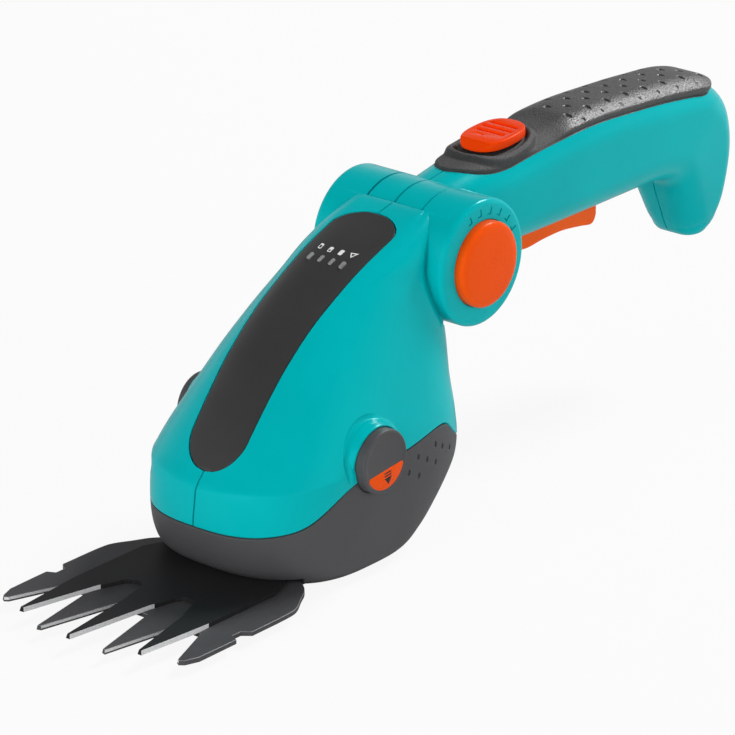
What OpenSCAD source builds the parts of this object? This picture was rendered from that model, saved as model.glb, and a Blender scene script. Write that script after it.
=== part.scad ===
// Cordless grass shears: a pod that drives a pair of comb blades, and a handle that tilts on it.
// +X is the tool's left, -Y is forward and +Z is up. The origin is on the sole, under the drive gear.

/* [Pod] */
// Half width of the pod at its widest
pod_half_w = 38.3; // [36:0.1:42]
// Reach of the nose in front of the gear axis
pod_front = 50; // [48:0.5:54]
// Reach of the rear wall behind the gear axis
pod_rear = 63; // [61:0.5:66]
// Height of the lip that the top of the pod ends in
pod_top = 110.3; // [109:0.1:112]
// Height of the widest slice
pod_belly_z = 42; // [38:0.5:48]
// Wall of the pod's housings and base
pod_wall = 2.4; // [1.8:0.1:3]
// Half length of the flat sole
sole_half_l = 27; // [24:0.5:32]
// Half width of the flat sole
sole_half_w = 28.5; // [27:0.5:31]
// Height of the seam between base and housings at the nose
seam_front_z = 24; // [21:0.5:27]
// Height of that seam at the release buttons
seam_side_z = 39.3; // [37:0.1:41]
// Height of that seam at its highest, near the rear
seam_rear_z = 43; // [42:0.5:46]
// Height of that seam at the rear wall
seam_back_z = 31.5; // [29:0.5:36]
// Thickness of the base's lip inside the housings
lip_t = 1.5; // [1:0.1:2]
// Height of that lip
lip_h = 3; // [2:0.5:4]

/* [Display] */
// Height of the panel's lower end
panel_low_z = 42.6; // [40:0.2:46]
// Height of the panel's upper end
panel_high_z = 108.6; // [107:0.1:108.9]
// Half width of the panel near its lower end
panel_low_w = 11.8; // [10:0.1:13]
// Half width of the panel at the lamps
panel_high_w = 13.6; // [12.5:0.1:15]
// Thickness of the panel
panel_t = 1.3; // [1:0.1:1.6]
// Height of the row of lamps
led_z = 99.4; // [96:0.2:102]
// Pitch of the lamps
led_pitch = 4.72; // [4.2:0.02:5.2]
// Width of one lamp
led_w = 1.4; // [1.2:0.1:2]
// Length of one lamp, up the panel
led_h = 3.2; // [2.6:0.1:3.8]

/* [Hinge] */
// Distance of the hinge axis behind the gear axis
hinge_y = 67.6; // [66:0.1:70]
// Height of the hinge axis
hinge_z = 91.3; // [90:0.1:92]
// Radius of the hinge drum
drum_r = 22.7; // [22:0.1:23.2]
// Half width of the hinge drum
drum_half_w = 29; // [27:0.5:32]
// Half width of the handle's tongue between the cheeks
tongue_half_w = 12; // [10.5:0.1:13]
// Round on the cheek's rim
rim_r = 2.2; // [1:0.1:3]
// Radius of the hinge bolt
bolt_r = 4; // [3:0.1:5]
// Radius of a hinge button
hinge_button_r = 15.3; // [14:0.1:16.5]
// How far a hinge button stands out of its cheek
hinge_button_proud = 4; // [3:0.1:5]
// Travel of a hinge button
hinge_travel = 2.5; // [1.5:0.1:2.8]

/* [Handle] */
// Height of the top of the handle's shell at its crown
handle_top_z = 120.3; // [118:0.1:123]
// Height of the handle's underside
handle_low_z = 82.3; // [81:0.1:83.5]
// Rearmost reach of the tail
tail_y = 237.5; // [233:0.5:245]
// Height of the hook's lower end
hook_low_z = 54; // [50:0.5:60]
// Half width of the handle
handle_half_w = 16; // [15:0.1:18]
// Round on the handle's long edges
handle_round = 11; // [8:0.5:12]
// Wall of the handle's shells
handle_wall = 2.4; // [1.8:0.1:2.8]
// Thickness of the soft pad on the handle
pad_t = 1; // [0.6:0.1:1.4]
// Half width of the pad
pad_half_w = 14.5; // [13:0.1:15]
// Radius of the charging socket's hole
socket_r = 2.75; // [2:0.05:3.2]
// Depth of the charging socket's hole
socket_depth = 9; // [6:0.5:11]

/* [Controls] */
// Radius of a blade release button
release_r = 11.4; // [10:0.1:12.5]
// Height of the release buttons' axis
release_z = 42.7; // [41:0.1:44]
// How far a release button stands out at the pod's widest
release_proud = 3.75; // [2.6:0.05:5]
// Travel of a release button
release_travel = 2.2; // [1.5:0.1:2.5]
// Distance of the thumb lock behind the hinge axis
thumb_back = 41.5; // [38:0.5:45]
// Length of the thumb lock
thumb_l = 25.5; // [22:0.5:27]
// Width of the thumb lock
thumb_w = 18; // [16:0.5:20]
// Height of the thumb lock above the pad
thumb_h = 3.6; // [3:0.1:5]
// Travel of the thumb lock
thumb_travel = 3; // [2:0.1:4]
// Slope of the handle's top at the thumb lock
thumb_tilt = 4; // [0:0.5:6]
// Height of the rim round the thumb lock
thumb_rim_h = 1.6; // [1:0.1:2.5]
// Half width of the trigger
trigger_half_w = 6.2; // [5:0.1:7]
// How far the trigger hangs below the handle
trigger_drop = 7.3; // [4:0.1:9]
// Length of the trigger behind its pin
trigger_l = 58; // [50:0.5:62]
// Radius of the trigger's pin
trigger_pin_r = 1.5; // [1:0.1:2]

/* [Blades] */
// Width across the lower blade's outer tips
blade_w = 80; // [70:1:84]
// Reach of the lower blade's outer tips in front of the gear axis
blade_reach = 100.8; // [96:0.2:108]
// Thickness of each blade
blade_t = 1.6; // [1.2:0.1:1.8]
// Height of the lower blade's upper face
blade_z = 5; // [4.4:0.1:5.2]
// Distance of the blade pivot in front of the gear axis
pivot_reach = 33.8; // [32:0.2:36]
// Radius of the blade pivot
pivot_r = 3; // [2:0.1:3.5]
// Half width of the blade cassette
cassette_half_w = 23.6; // [22:0.1:24]
// Length of the cassette behind the gear axis
cassette_back = 12; // [10.5:0.5:16]

/* [Drive] */
// Module of the gears
gear_module = 0.8; // [0.7:0.01:0.82]
// Teeth on the drive gear
gear_teeth = 48; // [40:4:48]
// Teeth on the motor's pinion
pinion_teeth = 12; // [12:4:16]
// Face width of the gears
gear_t = 5; // [4:0.1:6]
// Throw of the crank pin
crank_throw = 4.75; // [3:0.05:5.5]
// Radius of the crank pin
crank_r = 2.5; // [2:0.1:3]
// Radius of the gear's axle
axle_r = 2.5; // [1.5:0.1:3]
// Radius of the motor
motor_r = 12.2; // [11:0.1:13]
// Length of the motor
motor_l = 29; // [24:0.5:30]
// Radius of the motor's shaft
shaft_r = 1; // [0.8:0.05:1.5]
// Radius of the battery cell
cell_r = 9.1; // [8:0.1:9.2]
// Length of the battery cell
cell_l = 65; // [58:0.5:66]

/* [Fit] */
// Gap between pieces that move past each other
run_gap = 0.3; // [0.2:0.05:0.4]
// Gap round a pin that turns in its bore
pin_gap = 0.05; // [0.02:0.01:0.1]
// Gap between pieces that are fixed together
seat_gap = 0.1; // [0.05:0.01:0.2]
// Radius of the self-tapping screws
screw_r = 1.4; // [1.2:0.1:1.6]
// Radius of the screws' heads
screw_head_r = 2.7; // [2.4:0.1:3]

/* [Hidden] */
$fn = 48;

teal = "#00aeb4";
orange = "#fb5510";
charcoal = "#3e3e40";
steel = "#b9bcc0";
brass = "#c9a24a";

// Small helpers

// Straight blend from a to b
function mix(a, b, t) = a + (b - a) * t;

// Smooth curve through [key, value] points
function span(p, k, i = 0) = (i >= len(p) - 2 || k < p[i + 1][0]) ? i : span(p, k, i + 1);
function chord(p, a, b) = (p[b][1] - p[a][1]) / (p[b][0] - p[a][0]);
function slope(p, i) = chord(p, max(i - 1, 0), min(i + 1, len(p) - 1));
function curve(p, k) =
    let (i = span(p, k))
    let (h = p[i + 1][0] - p[i][0])
    let (t = min(max((k - p[i][0]) / h, 0), 1))
    let (start = (2 * t ^ 3 - 3 * t ^ 2 + 1) * p[i][1] + (t ^ 3 - 2 * t ^ 2 + t) * h * slope(p, i))
    start + (3 * t ^ 2 - 2 * t ^ 3) * p[i + 1][1] + (t ^ 3 - t ^ 2) * h * slope(p, i + 1);

// Two triangles of a four-sided patch, cut along either diagonal
function quad(a, b, c, d, other = false) = other ? [[a, d, b], [b, d, c]] : [[a, c, b], [a, d, c]];

// Closed skin between an outer and an inner grid of points, joined along all four edges
module slab(outer, inner) {
    rows = len(outer);
    cols = len(outer[0]);
    inside = rows * cols;
    function at(i, j) = i * cols + j;
    points = concat([for (row = outer) each row], [for (row = inner) each row]);
    function back(i, j) = inside + at(i, j);
    end = rows - 1;
    edge = cols - 1;
    faces = [
        for (i = [0 : end - 1]) for (j = [0 : edge - 1])
            let (first = j < edge / 2)
            each concat(
                quad(at(i, j), at(i, j + 1), at(i + 1, j + 1), at(i + 1, j), first),
                quad(back(i, j), back(i + 1, j), back(i + 1, j + 1), back(i, j + 1), first)),
        for (j = [0 : edge - 1])
            each concat(
                quad(at(0, j), back(0, j), back(0, j + 1), at(0, j + 1)),
                quad(at(end, j), at(end, j + 1), back(end, j + 1), back(end, j))),
        for (i = [0 : end - 1])
            each concat(
                quad(at(i, 0), at(i + 1, 0), back(i + 1, 0), back(i, 0)),
                quad(at(i + 1, edge), at(i, edge), back(i, edge), back(i + 1, edge)))
    ];
    polyhedron(points, faces);
}

// Closed solid through a stack of closed rings, capped at both ends
module stack(rings) {
    cols = len(rings[0]);
    last = len(rings) - 1;
    function at(i, j) = i * cols + j % cols;
    faces = [
        for (i = [0 : last - 1]) for (j = [0 : cols - 1])
            each quad(at(i, j), at(i, j + 1), at(i + 1, j + 1), at(i + 1, j)),
        [for (j = [0 : cols - 1]) at(0, j)],
        [for (j = [0 : cols - 1]) at(last, cols - 1 - j)]
    ];
    polyhedron([for (ring = rings) each ring], faces);
}

// Coil of wire along +Z between two heights, one unbroken tube
wire_sides = 6;
wire_steps = 8;
function coil_frame(r, z, a) = [[cos(a), sin(a), 0], [r * cos(a), r * sin(a), z]];
module coil(r, wire, z0, z1, turns) {
    steps = turns * wire_steps;
    rings = [
        for (k = [0 : steps])
            let (a = 360 * k / wire_steps)
            let (f = coil_frame(r, mix(z0 + wire, z1 - wire, k / steps), a))
            [for (s = [wire_sides - 1 : -1 : 0])
                f[1] + wire * (cos(360 * s / wire_sides) * f[0] + [0, 0, sin(360 * s / wire_sides)])]
    ];
    echo(str("coil gap between turns: ", (z1 - z0 - 2 * wire) / turns - 2 * wire));
    stack(rings);
}

// Cylinder along X between two places
module rod_x(r, x0, x1) {
    translate([x0, 0, 0])
        rotate([0, 90, 0])
            cylinder(r = r, h = x1 - x0);
}

// Rectangle with its corners cut round
module plate_2d(w, l, r) {
    for (turn = [0, 1])
        square([w - 2 * r * turn, l - 2 * r * (1 - turn)], center = true);
    for (x = [-1, 1])
        for (y = [-1, 1])
            translate([x * (w / 2 - r), y * (l / 2 - r)])
                circle(r);
}

// Oval with flat sides
module oval_2d(w, l) {
    polygon([for (a = [0 : 10 : 350]) [
        w / 2 * sign(cos(a)) * abs(cos(a)) ^ 0.8,
        l / 2 * sign(sin(a)) * abs(sin(a)) ^ 0.8]]);
}

// Pod surface

floor_z = blade_z + blade_t + 0.45;
floor_t = 2.2;
belly_drop = pod_half_w - sole_half_w;
led_y = hinge_y - 48.6;
low_y = -(pod_front - 5.8);
panel_bulge = 10.1;

// Front edge of the pod at each height
front_line = [
    [0, -sole_half_l],
    [floor_z, -(pod_front - 8)],
    [mix(floor_z, seam_front_z, 0.35), -(pod_front - 2.6)],
    [seam_front_z, -pod_front],
    [mix(seam_front_z, panel_low_z, 0.55), -(pod_front - 1.4)],
    [panel_low_z - 4, -(pod_front - 2.9)],
    [panel_low_z, low_y],
    [mix(panel_low_z, led_z, 0.15), mix(low_y, led_y, 0.15) - 0.34 * panel_bulge],
    [mix(panel_low_z, led_z, 0.34), mix(low_y, led_y, 0.34) - 0.7 * panel_bulge],
    [mix(panel_low_z, led_z, 0.57), mix(low_y, led_y, 0.57) - panel_bulge],
    [mix(panel_low_z, led_z, 0.8), mix(low_y, led_y, 0.8) - 0.91 * panel_bulge],
    [led_z, led_y],
    [pod_top - 1.6, hinge_y - 20.8],
    [pod_top, hinge_y - 14.6]
];

// Rear edge of the pod at each height
rear_line = [
    [0, sole_half_l],
    [5, sole_half_l + 9.5],
    [11, sole_half_l + 19],
    [20, pod_rear - 5.8],
    [26, pod_rear - 0.8],
    [33, pod_rear],
    [pod_belly_z, pod_rear - 1.6],
    [55, pod_rear - 3],
    [hinge_z - drum_r, pod_rear - 3.2],
    [pod_top, hinge_y - 9.6]
];

// Half width of the pod at each height
width_line = [
    [0, sole_half_w],
    [3, sole_half_w + 0.66 * belly_drop],
    [8, sole_half_w + 0.87 * belly_drop],
    [15, sole_half_w + 0.93 * belly_drop],
    [seam_front_z, sole_half_w + 0.94 * belly_drop],
    [pod_belly_z, pod_half_w],
    [56, pod_half_w - 3.7],
    [69, pod_half_w - 7.7],
    [82, pod_half_w - 12.1],
    [92, pod_half_w - 15],
    [led_z, pod_half_w - 16],
    [pod_top, pod_half_w - 21]
];

// Where each slice is widest
middle_line = [
    [0, 0],
    [pod_belly_z, 2],
    [69, 22],
    [89, hinge_y - 28],
    [led_z, hinge_y - 19],
    [pod_top, hinge_y - 12]
];

// How square the front of each slice is
power_line = [[0, 2.7], [pod_belly_z, 2.72], [56, 2.62], [75, 2.5], [led_z, 2.45], [pod_top, 3.2]];
rear_power = 3.3;

// How much longer a level cut through a wall is where the wall leans
function lean(line, z) = norm([1, (curve(line, z + 1) - curve(line, z - 1)) / 2]);

// Point of the pod at height z, turned from the front (0) round the left to the rear (180)
function pod_point(turn, z, inset = 0) =
    let (w = max(curve(width_line, z) - inset, 0.4))
    let (mid = curve(middle_line, z))
    let (ahead = turn <= 90)
    let (reach = ahead ? mid - curve(front_line, z) : curve(rear_line, z) - mid)
    let (n = ahead ? curve(power_line, z) : rear_power)
    let (cut = inset == 0 ? 0 : inset * lean(ahead ? front_line : rear_line, z))
    let (along = max(reach - cut, 0.4) * abs(cos(turn)) ^ (2 / n))
    [w * abs(sin(turn)) ^ (2 / n), mid + (ahead ? -along : along), z];

// Front face of the pod at a place across and a height
function pod_face(x, z) =
    let (n = curve(power_line, z))
    let (mid = curve(middle_line, z))
    mid - (mid - curve(front_line, z)) * (1 - min(abs(x) / curve(width_line, z), 0.999) ^ n) ^ (1 / n);

// Half width of the pod at a place along and a height
function pod_half(y, z) =
    let (mid = curve(middle_line, z))
    let (reach = y < mid ? mid - curve(front_line, z) : curve(rear_line, z) - mid)
    let (n = y < mid ? curve(power_line, z) : rear_power)
    curve(width_line, z) * (1 - min(abs(y - mid) / reach, 0.999) ^ n) ^ (1 / n);

// Height of the seam between base and housings along the tool
seam_line = [
    [-pod_front, seam_front_z],
    [-37, seam_front_z + 0.6],
    [-26, mix(seam_front_z, seam_side_z, 0.2)],
    [-12, seam_side_z - 3.3],
    [0, seam_side_z],
    [17, mix(seam_side_z, seam_rear_z, 0.45)],
    [34, seam_rear_z],
    [41, seam_rear_z - 1.1],
    [47.4, mix(seam_back_z, seam_rear_z, 0.4)],
    [54, seam_back_z + 0.6],
    [pod_rear, seam_back_z]
];
function seam_z(turn) = curve(seam_line, pod_point(turn, pod_belly_z)[1]);

pod_cols = 20;
pod_rows = 18;
pod_turns = [for (j = [0 : pod_cols]) 180 * j / pod_cols];
function rise(k, n) = 1 - (1 - k / n) ^ 1.5;

// One row of a housing, and the roof line that closes it
function housing_row(k, inset) = [
    for (turn = pod_turns) pod_point(turn, mix(seam_z(turn), pod_top - inset, rise(k, pod_rows)), inset)];
function roof_row(inset) =
    let (front = pod_point(0, pod_top - inset, inset))
    let (rear = pod_point(180, pod_top - inset, inset))
    [for (turn = pod_turns) mix(front, rear, 0.1 + 0.8 * turn / 180)];
function housing_grid(inset) = concat([for (k = [0 : pod_rows]) housing_row(k, inset)], [roof_row(inset)]);

// Closed ring of the base, by its share of the way up to the seam
base_cols = 40;
function base_side(j) = j <= base_cols / 2 ? 1 : -1;
function base_turn(j) = 360 * (j <= base_cols / 2 ? j : base_cols - j) / base_cols;
function base_point(j, z, inset) =
    let (p = pod_point(base_turn(j), z, inset))
    [base_side(j) * p[0], p[1], z];
function base_ring(low, share, inset, lift = 0) = [
    for (j = [0 : base_cols - 1])
        base_point(j, mix(low, seam_z(base_turn(j)), share) + lift, inset)];
base_rows = 9;
lip_inset = pod_wall + 2.5 * seat_gap;
base_rings = concat(
    [for (k = [0 : base_rows]) base_ring(0, (k / base_rows) ^ 1.5, 0)],
    [base_ring(0, 1, lip_inset), base_ring(0, 1, lip_inset, lip_h)],
    [base_ring(0, 1, lip_inset + lip_t, lip_h)],
    [for (k = [4 : -1 : 0]) base_ring(floor_z + floor_t, k / 4, lip_inset + lip_t)]);

// Places inside the pod

gear_z = floor_z + floor_t + run_gap;
gear_pitch_r = gear_module * gear_teeth / 2;
pinion_pitch_r = gear_module * pinion_teeth / 2;
motor_y = gear_pitch_r + pinion_pitch_r;
hub_h = 2;
plate_z = gear_z + gear_t + hub_h + run_gap;
plate_t = 2;
plate_top = plate_z + plate_t;
plate_half_w = 20.4;
plate_front = 28;
plate_rear = 44;
boss_r = 3.4;
plate_bosses = [[-12, -24.5], [12, -24.5], [-17, 34], [17, 34]];
post_x = 21.2;
post_t = 2;
post_half_l = 7;
post_top = release_z + 6;
release_x = pod_half_w + release_proud;
release_flange_x = pod_half_w - pod_wall - lip_t - seat_gap - run_gap;
release_flange_t = 1.4;
release_flange_r = release_r + 1.3;
release_nose_x = post_x + post_t + release_travel + 0.05;
release_bore_r = release_r + run_gap;
spring_wire = 0.5;

// Blade recess

notch = [24, 32, 3];
wing_x = blade_w / 2 + 2.5;
tip_y = -blade_reach;
root_y = tip_y + 20;
wing_end = tip_y + 52;

// Right half of the lower blade's outline, from the middle gullet out and back
function lower_edge() = [
    [7, root_y],
    [13.6, tip_y - 9.2],
    [15.2, tip_y - 9.7],
    [20.4, root_y],
    [30.4, root_y],
    [blade_w / 2 - 2.4, tip_y + 0.5],
    [blade_w / 2 - 1, tip_y - 0.4],
    [blade_w / 2 + 0.6, tip_y + 0.8],
    [wing_x, tip_y + 6],
    [wing_x, tip_y + notch[0]],
    [wing_x - notch[2], tip_y + notch[0] + 1.5],
    [wing_x - notch[2], tip_y + notch[1] - 2.5],
    [wing_x, tip_y + notch[1]],
    [wing_x, wing_end],
    [wing_x - 1.4, wing_end + 4.5],
    [wing_x - 4.6, wing_end + 9.5],
    [wing_x - 8.4, wing_end + 16.8],
    [cassette_half_w + 3, wing_end + 22],
    [cassette_half_w, wing_end + 24.5],
    [cassette_half_w, cassette_back]
];
function flip(points) = [for (i = [len(points) - 1 : -1 : 0]) [-points[i][0], points[i][1]]];
module lower_blade_2d() {
    polygon(concat(lower_edge(), flip(lower_edge())));
}

// Room for the blades and the cassette in the underside of the base
module blade_recess_2d() {
    polygon(concat(recess_edge(), flip(recess_edge())));
}
recess_gap = 0.4;
function recess_edge() = [
    [wing_x + 20, wing_end - 20],
    [wing_x + 20, wing_end + 2],
    [wing_x - 4 + recess_gap, wing_end + 9.8],
    [wing_x - 7.9 + recess_gap, wing_end + 17.1],
    [cassette_half_w + 3.2 + recess_gap, wing_end + 22.6],
    [cassette_half_w + recess_gap, wing_end + 25],
    [cassette_half_w + recess_gap, cassette_back + recess_gap]
];

// Pod pieces

module base_pan() {
    color(charcoal)
        difference() {
            union() {
                stack(base_rings);
                for (side = [-1, 1])
                    translate([side * (post_x + post_t / 2), 0, (floor_z + floor_t + post_top) / 2])
                        cube([post_t, 2 * post_half_l, post_top - floor_z - floor_t + 0.4], center = true);
                for (p = plate_bosses)
                    translate([p[0], p[1], floor_z + floor_t - 0.2])
                        cylinder(r = boss_r, h = plate_z - floor_z - floor_t + 0.2);
            }
            translate([0, 0, -1])
                linear_extrude(floor_z + 1)
                    blade_recess_2d();
            translate([0, 0, floor_z - 1])
                cylinder(r = crank_throw + crank_r + 0.6, h = floor_t + 2);
            for (p = plate_bosses)
                translate([p[0], p[1], floor_z + floor_t])
                    cylinder(r = screw_r + 0.02, h = plate_z);
            for (side = [0, 1])
                mirror([side, 0, 0])
                    release_bore();
        }
}

// Bore of a release button, wider behind its flange
module release_bore() {
    translate([0, 0, release_z]) {
        rod_x(release_bore_r, release_flange_x - 8, release_x);
        rod_x(release_flange_r + run_gap, release_flange_x - 8, release_flange_x + 0.05);
    }
}

// Solid cheek of the hinge, with its rim rounded
module cheek() {
    translate([0, hinge_y, hinge_z])
        rotate([90, 0, 90])
            rotate_extrude($fn = 72)
                difference() {
                    translate([0, tongue_half_w])
                        square([drum_r, drum_half_w - tongue_half_w]);
                    translate([drum_r - rim_r, drum_half_w - rim_r])
                        difference() {
                            square(rim_r + 1);
                            circle(rim_r);
                        }
                }
}
web_t = 7.5;
pocket_x = tongue_half_w + web_t;
button_gap = 0.25;

// Raised crescent over a release button
collar_t = 2.6;
collar_rise = 1.1;
collar_low = 2;
collar_r = release_bore_r + collar_t;
module collar() {
    translate([0, 0, release_z])
        difference() {
            rod_x(collar_r, pod_half_w - 4, pod_half_w + collar_rise);
            translate([0, -collar_r - 1, collar_low - 2 * collar_r])
                cube([2 * pod_half_w, 2 * collar_r + 2, 2 * collar_r]);
        }
}

// Screw places of the pod, along the seam
pod_screws = [[52.5, 50], [-38.5, 35.5], [40, 68]];
head_depth = 3;

// Where a screw boss ends, just under the pod's skin all round its rim
function boss_end(p) = min([
    for (a = [0 : 45 : 315]) pod_half(p[0] + boss_r * cos(a), p[1] + boss_r * sin(a))]) - 0.8;
screw_seat = 4;
function pod_skin(p) = boss_end(p) - screw_seat;

// Panel pocket and panel

panel_rows = 22;
panel_cols = 13;
end_round = 13;
function panel_z(k) = mix(panel_low_z, panel_high_z, 1 - (1 - k / panel_rows) ^ 1.35);
function panel_place(z) = [pod_face(0, z), z];
function panel_run(k) = k == 0 ? 0 :
    panel_run(k - 1) + norm(panel_place(panel_z(k)) - panel_place(panel_z(k - 1)));
panel_l = panel_run(panel_rows);
function round_end(d) = d >= end_round ? 1 : sqrt(max(1 - (1 - d / end_round) ^ 2, 0.004));
function panel_half(k) =
    let (run = panel_run(k))
    let (w = mix(panel_low_w, panel_high_w, min(run / (0.8 * panel_l), 1)))
    w * min(round_end(run), round_end(panel_l - run));
panel_in = [0, 0.6, -0.8];
function panel_grid(depth, grow) = [
    for (k = [0 : panel_rows])
        let (shift = k == 0 ? [0, -0.7, -0.7] * grow : k == panel_rows ? [0, 0.95, 0.3] * grow : [0, 0, 0])
        [for (j = [-panel_cols : 2 : panel_cols])
            let (z = panel_z(k))
            let (x = panel_half(k) * j / panel_cols)
            [x * (1 + grow / max(panel_half(k), 1)), pod_face(x, z), z] + shift + panel_in * depth]
];
module panel_pocket() {
    slab(panel_grid(-4, seat_gap), panel_grid(panel_t + seat_gap, seat_gap));
}

// The lamps' own place and tilt on the panel
led_tilt = atan2(pod_face(0, led_z + 1) - pod_face(0, led_z - 1), 2);
module at_leds() {
    translate([0, pod_face(0, led_z), led_z])
        rotate([-led_tilt, 0, 0])
            children();
}
led_reach = 4.6;
led_round = 0.5;
module led_window() {
    at_leds()
        cube([4 * led_pitch + 2, 20, led_h + 2], center = true);
}

module housing(side) {
    color(teal)
        mirror([side < 0 ? 1 : 0, 0, 0])
            difference() {
                union() {
                    slab(housing_grid(0), housing_grid(pod_wall));
                    cheek();
                    collar();
                    for (p = pod_screws)
                        translate([0, p[0], p[1]])
                            rod_x(boss_r, 0, boss_end(p));
                }
                translate([0, hinge_y, hinge_z]) {
                    rod_x(drum_r + run_gap, -1, tongue_half_w + run_gap / 2);
                    rod_x(bolt_r + pin_gap, 0, drum_half_w);
                    rod_x(hinge_button_r + button_gap, pocket_x, drum_half_w + 1);
                }
                panel_pocket();
                led_window();
                release_bore();
                for (p = pod_screws)
                    translate([0, p[0], p[1]])
                        if (side > 0) rod_x(screw_r + 0.02, -1, pod_skin(p));
                        else {
                            rod_x(screw_r + seat_gap, -1, pod_skin(p));
                            rod_x(screw_head_r + run_gap, pod_skin(p) - head_depth, pod_half_w);
                        }
            }
}
module housing_left() {
    housing(1);
}
module housing_right() {
    housing(-1);
}

module housing_screws() {
    color(steel)
        for (p = pod_screws)
            translate([0, p[0], p[1]]) {
                rod_x(screw_r, -pod_skin(p) + head_depth - 0.1, pod_skin(p) - screw_seat);
                difference() {
                    rod_x(screw_head_r, -pod_skin(p) + head_depth - 2, -pod_skin(p) + head_depth);
                    translate([-pod_skin(p) + head_depth - 2, 0, 0])
                        for (turn = [0, 90])
                            rotate([turn, 0, 0])
                                cube([1.6, 3, 0.7], center = true);
                }
            }
}

module display_panel() {
    color(charcoal)
        difference() {
            slab(panel_grid(0, 0), panel_grid(panel_t, 0));
            led_bars(seat_gap / 2);
        }
}
module led_bars(grow) {
    at_leds()
        for (i = [-1.5 : 1.5])
            translate([i * led_pitch, led_reach / 2 - 0.1, 0])
                rotate([90, 0, 0])
                    linear_extrude(led_reach + 4 * grow, center = true)
                        plate_2d(led_w + 2 * grow, led_h + 2 * grow, led_round + grow);
}
module led_lenses() {
    color("#e9f2f2")
        led_bars(0);
}
board_t = 1.2;
module display_board() {
    color("#1f6b3a")
        at_leds() {
            translate([0, led_reach + board_t / 2, 0])
                cube([4 * led_pitch, board_t, 13], center = true);
            translate([3, led_reach + board_t + 0.7, -2.6])
                cube([5, 1.6, 4], center = true);
        }
}

// Drive

module motor() {
    color(steel)
        translate([0, motor_y, plate_top])
            difference() {
                union() {
                    cylinder(r = motor_r, h = motor_l);
                    cylinder(r = 3, h = motor_l + 2);
                }
                translate([0, 0, -1])
                    cylinder(r = shaft_r + pin_gap, h = motor_l + 4);
                for (x = [-1, 1])
                    translate([x * 8, 0, -1])
                        cylinder(r = screw_r + 0.02, h = 6);
            }
}
module motor_shaft() {
    color(steel)
        translate([0, motor_y, gear_z])
            cylinder(r = shaft_r, h = plate_top - gear_z + motor_l + 2.5);
}

// Involute outline of one gear, as points round the axis
pressure = 25;
addendum = 0.8;
dedendum = 1.05;
backlash = 0.16;
function involute_turn(c) = tan(c) * 180 / PI - c;
function flank(base_r, r) = involute_turn(acos(min(base_r / r, 1)));
module gear_2d(teeth) {
    pitch_r = gear_module * teeth / 2;
    base_r = pitch_r * cos(pressure);
    tip_r = pitch_r + addendum * gear_module;
    root_r = pitch_r - dedendum * gear_module;
    half = 90 / teeth - backlash / pitch_r * 90 / PI + involute_turn(pressure);
    start_r = max(base_r, root_r);
    flank_steps = 4;
    radii = [for (i = [0 : flank_steps]) mix(start_r, tip_r, i / flank_steps)];
    points = [
        for (k = [0 : teeth - 1])
            each concat(
                [root_r * [cos(360 * k / teeth - half), sin(360 * k / teeth - half)]],
                [for (r = radii) let (a = 360 * k / teeth - half + flank(base_r, r)) r * [cos(a), sin(a)]],
                [for (i = [flank_steps : -1 : 0])
                    let (a = 360 * k / teeth + half - flank(base_r, radii[i])) radii[i] * [cos(a), sin(a)]],
                [root_r * [cos(360 * k / teeth + half), sin(360 * k / teeth + half)]])
    ];
    polygon(points);
}
module drive_gear() {
    color("#e8e4da")
        difference() {
            union() {
                translate([0, 0, gear_z])
                    linear_extrude(gear_t)
                        rotate(90)
                            gear_2d(gear_teeth);
                translate([0, 0, gear_z + gear_t - 0.1])
                    cylinder(r = axle_r + 3, h = hub_h + 0.1);
            }
            translate([0, 0, gear_z - 1])
                cylinder(r = axle_r + pin_gap, h = gear_t + hub_h + 2);
            translate([0, -crank_throw, gear_z - 1])
                cylinder(r = crank_r - 0.6, h = gear_t + 2);
        }
}
module motor_pinion() {
    color(brass)
        translate([0, motor_y, gear_z])
            difference() {
                linear_extrude(gear_t)
                    rotate(-90 + 180 / pinion_teeth)
                        gear_2d(pinion_teeth);
                translate([0, 0, -1])
                    cylinder(r = shaft_r + 0.02, h = gear_t + 2);
            }
}
crank_end = blade_z + blade_t + run_gap;
module crank_pin() {
    color(steel)
        translate([0, -crank_throw, crank_end]) {
            cylinder(r = crank_r, h = gear_z - crank_end);
            cylinder(r = crank_r - 0.62, h = gear_z - crank_end + gear_t);
        }
}
module gear_axle() {
    color(steel)
        translate([0, 0, gear_z]) {
            cylinder(r = axle_r, h = plate_top - gear_z);
            translate([0, 0, plate_top - gear_z])
                cylinder(r = axle_r + 1.5, h = 1.2);
        }
}
module motor_plate() {
    color("#9a9da0")
        translate([0, 0, plate_z])
            difference() {
                translate([0, (plate_rear - plate_front) / 2, 0])
                    linear_extrude(plate_t)
                        plate_2d(2 * plate_half_w, plate_front + plate_rear, 5);
                translate([0, 0, -1]) {
                    cylinder(r = axle_r + 0.02, h = plate_t + 2);
                    translate([0, motor_y, 0])
                        cylinder(r = shaft_r + 2.2, h = plate_t + 2);
                    for (x = [-1, 1])
                        translate([x * 8, motor_y, 0])
                            cylinder(r = screw_r + seat_gap, h = plate_t + 2);
                    for (p = plate_bosses)
                        translate([p[0], p[1], 0])
                            cylinder(r = screw_r + seat_gap, h = plate_t + 2);
                }
            }
}
module plate_screws() {
    color(steel) {
        for (p = plate_bosses)
            translate([p[0], p[1], plate_top]) {
                cylinder(r = screw_head_r, h = 1.8);
                translate([0, 0, -plate_t - 6])
                    cylinder(r = screw_r, h = plate_t + 6.5);
            }
        for (x = [-1, 1])
            translate([x * 8, motor_y, plate_z]) {
                translate([0, 0, -1.2])
                    cylinder(r = screw_head_r - 0.7, h = 1.2);
                cylinder(r = screw_r, h = plate_t + 4);
            }
    }
}

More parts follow.
